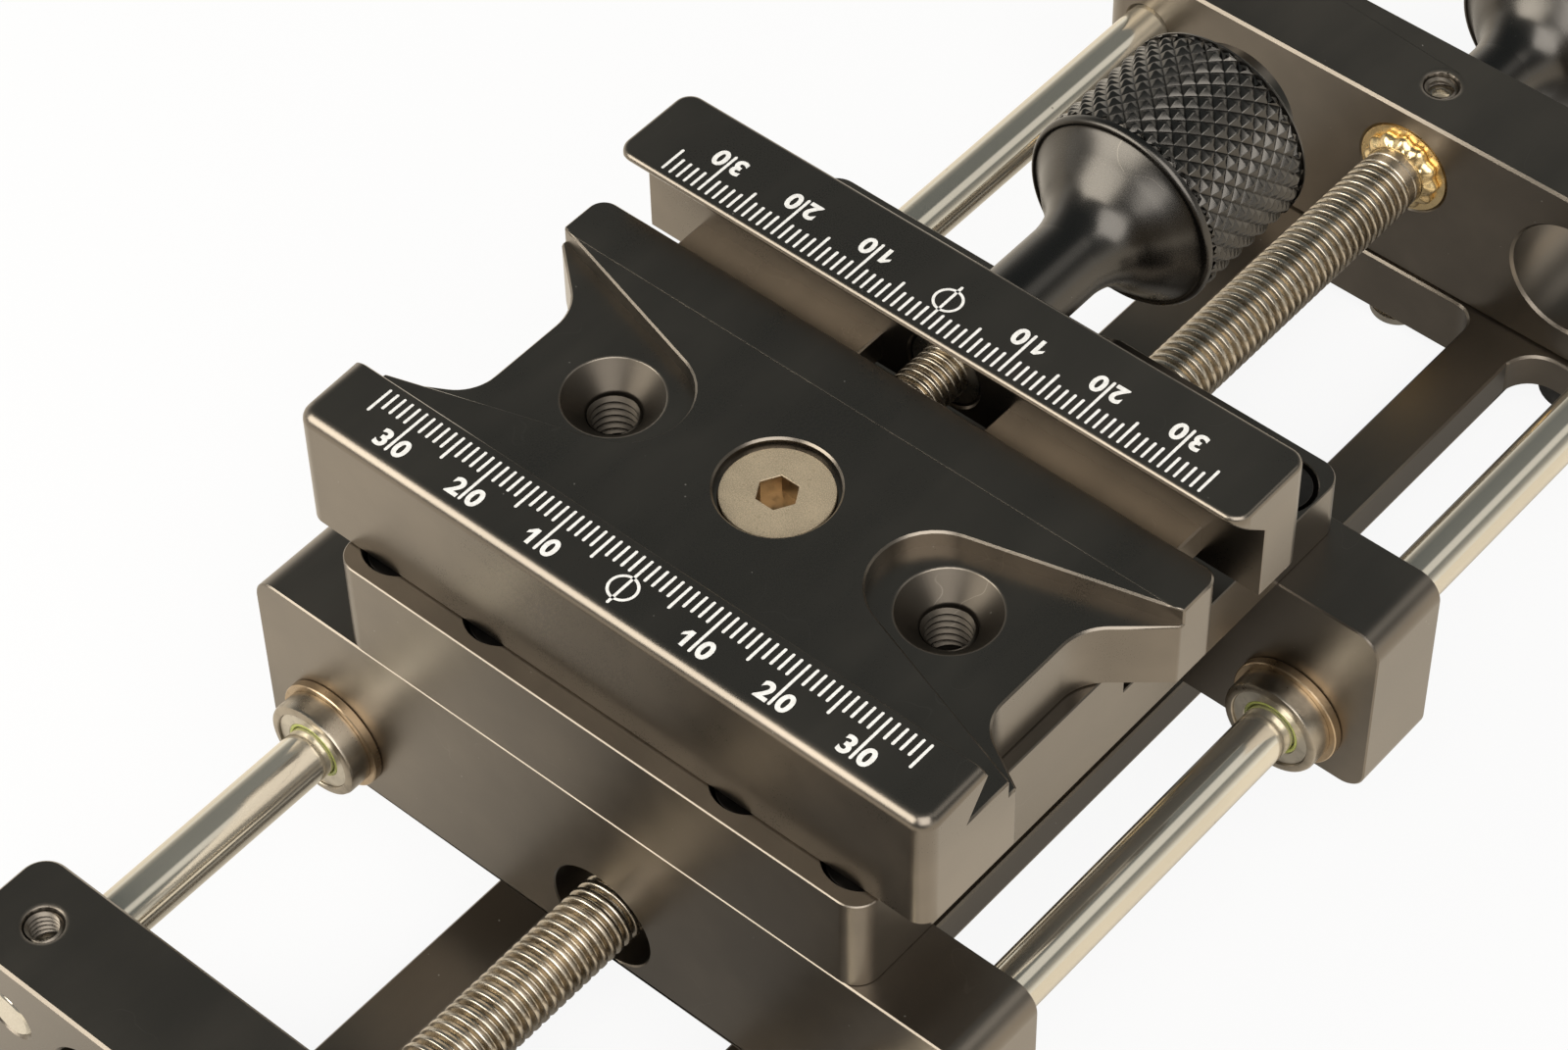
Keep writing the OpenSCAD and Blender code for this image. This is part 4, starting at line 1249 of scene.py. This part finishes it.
class RAIL_OT_bearings(bpy.types.Operator):
    """Turn the four linear bearings, with their seals and retaining clips"""
    bl_idname = "rail.bearings"
    bl_label = "Linear bearings"

    def execute(self, context):
        lo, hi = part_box("front_left_bearing")
        r = (hi.z - lo.z) / 2 / MM
        length = (hi.y - lo.y) / MM
        groove = (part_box("front_left_clips")[0].y - lo.y) / MM
        after = groove + CLIP_WIDE + 0.04
        # half of the can, from beyond the clip's groove to the edge of the end plate
        half = [
            (after, r), (after, r - 0.31), (groove - 0.02, r - 0.31), (groove - 0.02, r - 0.02),
            (groove - 0.1, r), (0.45, r), (0.14, r - 0.14), (0, r - 0.45), (0, r - 1.0), (0.10, r - 1.1),
            (0.32, r - 1.15)]
        outline = half[::-1] + [(length / 2, r)] + [(length - a, b) for a, b in half]
        outline += [(length - 0.32, 3.6), (0.32, 3.6), (0.32, r - 1.15)]
        first = Vector((-ROD_X, lo.y, ROD_Z))
        body = smooth(turned("bearing_can", first, Y, outline, steps=72), 32)
        for name, side in (("front_left", -1), ("front_right", 1), ("rear_left", -1), ("rear_right", 1)):
            node = f"{name}_bearing"
            foot = Vector((side * ROD_X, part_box(node)[0].y, ROD_Z))
            can = copy_of(f"{node}_can", body)
            can.location = foot - first
            place(can, "carriage", "bearing_steel", FINISHES["bearing"], node)
            self.end_rings(name, foot, length, r)
            self.clips(name, foot, f"{name}_clips")
        bpy.data.objects.remove(body)
        return {"FINISHED"}

    def end_rings(self, name, foot, length, r):
        """The end plates set into the can, and the wiper seals that run on the rod."""
        rings, seals = [], []
        for start, way in ((foot, Y), (foot + Y * (length * MM), -Y)):
            outline = [
                (0.26, r - 1.16), (0.26, 3.56), (0.34, 3.46), (0.9, 3.46), (0.9, r - 1.16), (0.26, r - 1.16)]
            rings.append(turned("plate", start, way, outline, steps=64))
            outline = [
                (0.32, 3.45), (0.26, 3.36), (0.32, 3.16), (0.52, 3.06), (1.3, 3.06), (1.3, 3.45),
                (0.32, 3.45)]
            seals.append(turned("seal", start, way, outline, steps=64))
        plate = smooth(join(f"{name}_end_plates", *rings), 32)
        place(plate, "carriage", "bearing_steel", FINISHES["bearing_end"])
        seal = smooth(join(f"{name}_seals", *seals), 32)
        place(seal, "carriage", "foot_rubber", FINISHES["seal"])

    def clips(self, name, foot, node):
        """The two open clips in the grooves of a bearing; the lugs face down."""
        lo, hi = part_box(node)
        r = (hi.z - foot.z) / MM
        clips = []
        for y in (lo.y, hi.y - CLIP_WIDE * MM):
            start = Vector((foot.x, y, foot.z))
            outline = [
                (0, 5.72), (CLIP_WIDE, 5.72), (CLIP_WIDE, r - 0.12), (CLIP_WIDE - 0.12, r), (0.12, r),
                (0, r - 0.12), (0, 5.72)]
            points = [start + Y * (a * MM) - Z * (b * MM) for a, b in outline]
            turn = Matrix.Rotation(math.radians(13), 4, Y)
            points = [start + turn @ (p - start) for p in points]
            clip = wire("clip", points, closed=True)
            edit_all(clip)
            bpy.ops.mesh.edge_face_add()
            bpy.ops.mesh.select_all(action="SELECT")
            bpy.ops.mesh.spin(steps=60, angle=math.radians(334), center=start, axis=Y)
            done_editing(clip)
            clips.append(self.close_ends(clip))
        piece = smooth(join(f"{name}_clips_bent", *clips), 32)
        place(piece, "carriage", "clip_bronze", FINISHES["bronze"], node)

    def close_ends(self, clip):
        """Fills the two open ends of a clip."""
        edit(clip)
        bpy.ops.mesh.select_mode(type="EDGE")
        bpy.ops.mesh.select_all(action="SELECT")
        bpy.ops.mesh.remove_doubles(threshold=1e-7)
        bpy.ops.mesh.select_all(action="DESELECT")
        bpy.ops.mesh.select_non_manifold(
            extend=False, use_wire=False, use_multi_face=False, use_non_contiguous=False, use_verts=False)
        bpy.ops.mesh.edge_face_add()
        bpy.ops.mesh.select_all(action="SELECT")
        bpy.ops.mesh.normals_make_consistent(inside=False)
        return done_editing(clip)


def dress(piece, body, slot, finish, node, edge=0.12):
    """Breaks the edges of a small part by this much in mm, smooths it and puts it in its place."""
    break_edges(piece, edge * MM, segments=2, angle=30)
    return place(smooth(piece, 35), body, slot, finish, node)


class RAIL_OT_centre_screw(bpy.types.Operator):
    """Turn the flat-head socket screw in the middle of the clamp"""
    bl_idname = "rail.centre_screw"
    bl_label = "Centre screw"

    def execute(self, context):
        node = "clamp_centre_screw"
        screw = solid_of("centre_screw_turned", node)
        piece = dress(screw, "carriage", "fastener_steel", FINISHES["nickel"], node)
        top = CENTRE[1].z
        finish_faces(piece, FINISHES["socket"], lambda c, n: top - 3 * MM < c.z < top - 0.1 * MM
                     and math.hypot(c.x, c.y - HOLE_Y) < 3.2 * MM)
        return {"FINISHED"}


class RAIL_OT_fasteners(bpy.types.Operator):
    """Dress the cap screws, set screws, stop screws, pins, rings and the lead nut"""
    bl_idname = "rail.fasteners"
    bl_label = "Fasteners"

    def execute(self, context):
        for node, body in (
                ("base_cap_screws", "base"), ("rod_set_screws", "base"), ("bearing_set_screw", "base"),
                ("stop_screws", "base"), ("nut_screws", "carriage"), ("focus_knob_screw", "focus_screw"),
                ("clamp_knob_pin", "clamp_drive")):
            piece = solid_of(f"{node}_cut", node)
            if "set_screw" in node:
                # the set screws are screwed well down into their holes
                foot = (0, 0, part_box(node)[0].z)
                pick_points(piece, lambda co: True)
                bpy.ops.transform.resize(value=(1, 1, SET_SCREW_PART), center_override=foot)
                done_editing(piece)
            dress(piece, body, "fastener_steel", FINISHES["fastener"], node)
        for node in ("front_plate_screws", "rear_plate_screws"):
            piece = solid_of(f"{node}_cut", node)
            dress(piece, "carriage", "fastener_black", FINISHES["dark_fastener"], node, 0.15)
        keep(FINISHES["fastener"], "locating_pins", "jaw_retaining_ring")
        keep(FINISHES["brass"], "thrust_washer", "near_screw_bearing", "far_screw_bearing")
        nut = solid_of("lead_nut_cut", "lead_nut")
        dress(nut, "carriage", "brass", FINISHES["brass"], "lead_nut", 0.2)
        return {"FINISHED"}


class RAIL_OT_feet(bpy.types.Operator):
    """Mould the rubber feet"""
    bl_idname = "rail.feet"
    bl_label = "Rubber feet"

    def execute(self, context):
        feet = solid_of("rubber_feet_moulded", "rubber_feet")
        break_edges(feet, 0.5 * MM, segments=4, angle=30)
        place(smooth(feet, 40), "base", "foot_rubber", FINISHES["rubber"], "rubber_feet")
        return {"FINISHED"}


# ---------------------------------------------------------------- studio

def seen_plainly(f):
    """1 for the camera, and through glass."""
    camera = f.node("ShaderNodeLightPath", out="Is Camera Ray")
    through = f.node("ShaderNodeLightPath", out="Is Transmission Ray")
    return f.node("ShaderNodeMath", {"operation": "MAXIMUM"}, {0: camera, 1: through})


class RAIL_OT_studio(bpy.types.Operator):
    """Set up the floor, the lamps, the world and the camera"""
    bl_idname = "rail.studio"
    bl_label = "Studio"

    def execute(self, context):
        studio = context.scene.rail_studio
        self.floor(studio)
        self.world(context)
        self.lamps(studio)
        self.camera(context, studio)
        context.scene.view_settings.view_transform = "Standard"
        return {"FINISHED"}

    def floor(self, studio):
        """A white table that takes a faint shadow; to the rail's metal it glows with a painted reflection."""
        deselect_all()
        bpy.ops.mesh.primitive_plane_add(size=8, location=(0, 0, CAD_BOX[0].z - 0.0001))
        floor = bpy.context.object
        floor.name = "floor"
        f = Finish("studio_floor")
        plain = seen_plainly(f)
        glossy = f.node("ShaderNodeLightPath", out="Is Glossy Ray")
        across_it = f.node("ShaderNodeSeparateXYZ", {}, {"Vector": f.where()}, out="X")
        along_it = f.node("ShaderNodeSeparateXYZ", {}, {"Vector": f.where()}, out="Y")
        # painted reflection: to glossy rays the floor glows in the bounce colour, painted dark in front of
        # the rail as if the table ended there, with a painted shadow of the rail under it
        painted_glow_level = f.ramp(along_it, -0.62, -0.30)
        # painted shadow of the rail, seen only in the floor's reflections
        painted_shadow = f.ramp(across_it, -0.074, 0.002) * (1 - f.ramp(across_it, 0.022, 0.062))
        painted_shadow = painted_shadow * (1 - f.ramp(abs(along_it), 0.12, 0.17))
        painted_glow_level = painted_glow_level * (1 - painted_shadow * 0.84)
        white = f.node("ShaderNodeEmission", {}, {"Color": (1, 1, 1, 1), "Strength": 1.0})
        # painted reflection: the glow that the rail's metal sees in the floor
        painted_glow = f.node("ShaderNodeEmission", {}, {
            "Color": f.mix(painted_glow_level, (0.10, 0.10, 0.10), tuple(studio.bounce)), "Strength": 1.0})
        matt = f.node("ShaderNodeBsdfDiffuse", {}, {"Color": (*studio.floor, 1)})
        lit = f.node("ShaderNodeMixShader", {}, {0: glossy * 0.94, 1: matt, 2: painted_glow})
        seen = f.node("ShaderNodeMixShader", {}, {0: plain * 0.90, 1: lit, 2: white})
        f.node("ShaderNodeOutputMaterial", {}, {"Surface": seen})
        floor.data.materials.append(f.material)

    def world(self, context):
        """White to the camera. To the rail, a pale horizon, and a dim room overhead and in front."""
        world = bpy.data.worlds.new("studio_world")
        context.scene.world = world
        world.use_nodes = True
        f = Finish.of_tree(world.node_tree)
        way = f.node("ShaderNodeTexCoord", out="Generated")
        up = f.node("ShaderNodeSeparateXYZ", {}, {"Vector": way}, out="Z")
        back = f.node("ShaderNodeSeparateXYZ", {}, {"Vector": way}, out="Y")
        height = f.node("ShaderNodeValToRGB", {"stops": (
            (0.0, (1, 0.97, 0.90)), (0.14, (0.9, 0.87, 0.80)), (0.36, (0.30, 0.29, 0.27)),
            (0.60, OVERHEAD), (1.0, OVERHEAD))}, {0: up})
        card = f.node(
            "ShaderNodeVectorMath", {"operation": "DOT_PRODUCT"}, {0: way, 1: CARD_WAY}, out="Value")
        room = f.mix(f.ramp(back, -0.75, -0.25), (0.07, 0.075, 0.08), height)
        room = f.mix(f.ramp(card, 0.955, 0.985), room, CARD_COLOUR)
        soft = f.node("ShaderNodeBackground", {}, {"Color": room, "Strength": 1.0})
        white = f.node("ShaderNodeBackground", {}, {"Color": (1, 1, 1, 1), "Strength": 1.0})
        mixed = f.node("ShaderNodeMixShader", {}, {0: seen_plainly(f), 1: soft, 2: white})
        f.node("ShaderNodeOutputWorld", {}, {"Surface": mixed})

    def lamps(self, studio):
        """Two wide lamps: one at the front left, one above the camera."""
        for name, spot, size, power, colour in (
                ("key_lamp", (-0.42, -0.74, 0.50), (0.75, 0.66), studio.key, (1.0, 0.95, 0.86)),
                ("top_lamp", (0.62, -0.52, 0.85), (1.1, 1.1), studio.fill, (1.0, 0.97, 0.93))):
            deselect_all()
            bpy.ops.object.light_add(type="AREA", location=spot)
            lamp = bpy.context.object
            lamp.name = name
            lamp.data.shape = "RECTANGLE"
            lamp.data.size, lamp.data.size_y = size
            lamp.data.energy = power
            lamp.data.color = colour
            aim = Vector((0, 0, 0.03)) - Vector(spot)
            lamp.rotation_euler = aim.to_track_quat("-Z", "Y").to_euler()

    def camera(self, context, studio):
        """The camera of the photo."""
        azimuth, elevation, roll = (math.radians(v) for v in CAMERA_TURN)
        ahead = Vector((
            -math.sin(azimuth) * math.cos(elevation), math.cos(azimuth) * math.cos(elevation),
            -math.sin(elevation)))
        right = ahead.cross(Z).normalized()
        up = right.cross(ahead)
        turned_right = right * math.cos(roll) + up * math.sin(roll)
        turned_up = up * math.cos(roll) - right * math.sin(roll)
        deselect_all()
        bpy.ops.object.camera_add(location=CAMERA_SPOT)
        camera = bpy.context.object
        camera.name = "camera"
        camera.rotation_euler = Matrix((turned_right, turned_up, -ahead)).transposed().to_euler()
        camera.data.lens = studio.lens
        camera.data.sensor_width = 36
        camera.data.clip_start = 0.01
        context.scene.camera = camera


class RAIL_PT_panel(bpy.types.Panel):
    """Lists the settings and the pieces of the rail"""
    bl_label = "Focusing Rail"
    bl_idname = "RAIL_PT_panel"
    bl_space_type = "VIEW_3D"
    bl_region_type = "UI"
    bl_category = "Focusing Rail"

    def draw(self, context):
        layout = self.layout
        scene = context.scene
        for title, group in (("Colours", scene.rail_colours), ("Sizes", scene.rail_sizes),
                             ("Studio", scene.rail_studio)):
            box = layout.box()
            box.label(text=title)
            for key in group.__annotations__:
                box.prop(group, key)
        for operator in OPERATORS:
            layout.operator(operator.bl_idname)


GROUPS = (
    ("rail_colours", RailColours),
    ("rail_sizes", RailSizes),
    ("rail_studio", StudioSettings),
)

OPERATORS = (
    RAIL_OT_finishes,
    RAIL_OT_base,
    RAIL_OT_carriage,
    RAIL_OT_clamp,
    RAIL_OT_moving_jaw,
    RAIL_OT_scales,
    RAIL_OT_knobs,
    RAIL_OT_lead_screw,
    RAIL_OT_clamp_screw,
    RAIL_OT_rods,
    RAIL_OT_bearings,
    RAIL_OT_centre_screw,
    RAIL_OT_fasteners,
    RAIL_OT_feet,
    RAIL_OT_studio,
)


def register():
    for name, group in GROUPS:
        bpy.utils.register_class(group)
        setattr(bpy.types.Scene, name, PointerProperty(type=group))
    for operator in OPERATORS:
        bpy.utils.register_class(operator)
    bpy.utils.register_class(RAIL_PT_panel)


def unregister():
    bpy.utils.unregister_class(RAIL_PT_panel)
    for operator in reversed(OPERATORS):
        bpy.utils.unregister_class(operator)
    for name, group in reversed(GROUPS):
        delattr(bpy.types.Scene, name)
        bpy.utils.unregister_class(group)


def main():
    register()
    for operator in OPERATORS:
        section, name = operator.bl_idname.split(".")
        getattr(getattr(bpy.ops, section), name)()


if __name__ == "__main__":
    main()
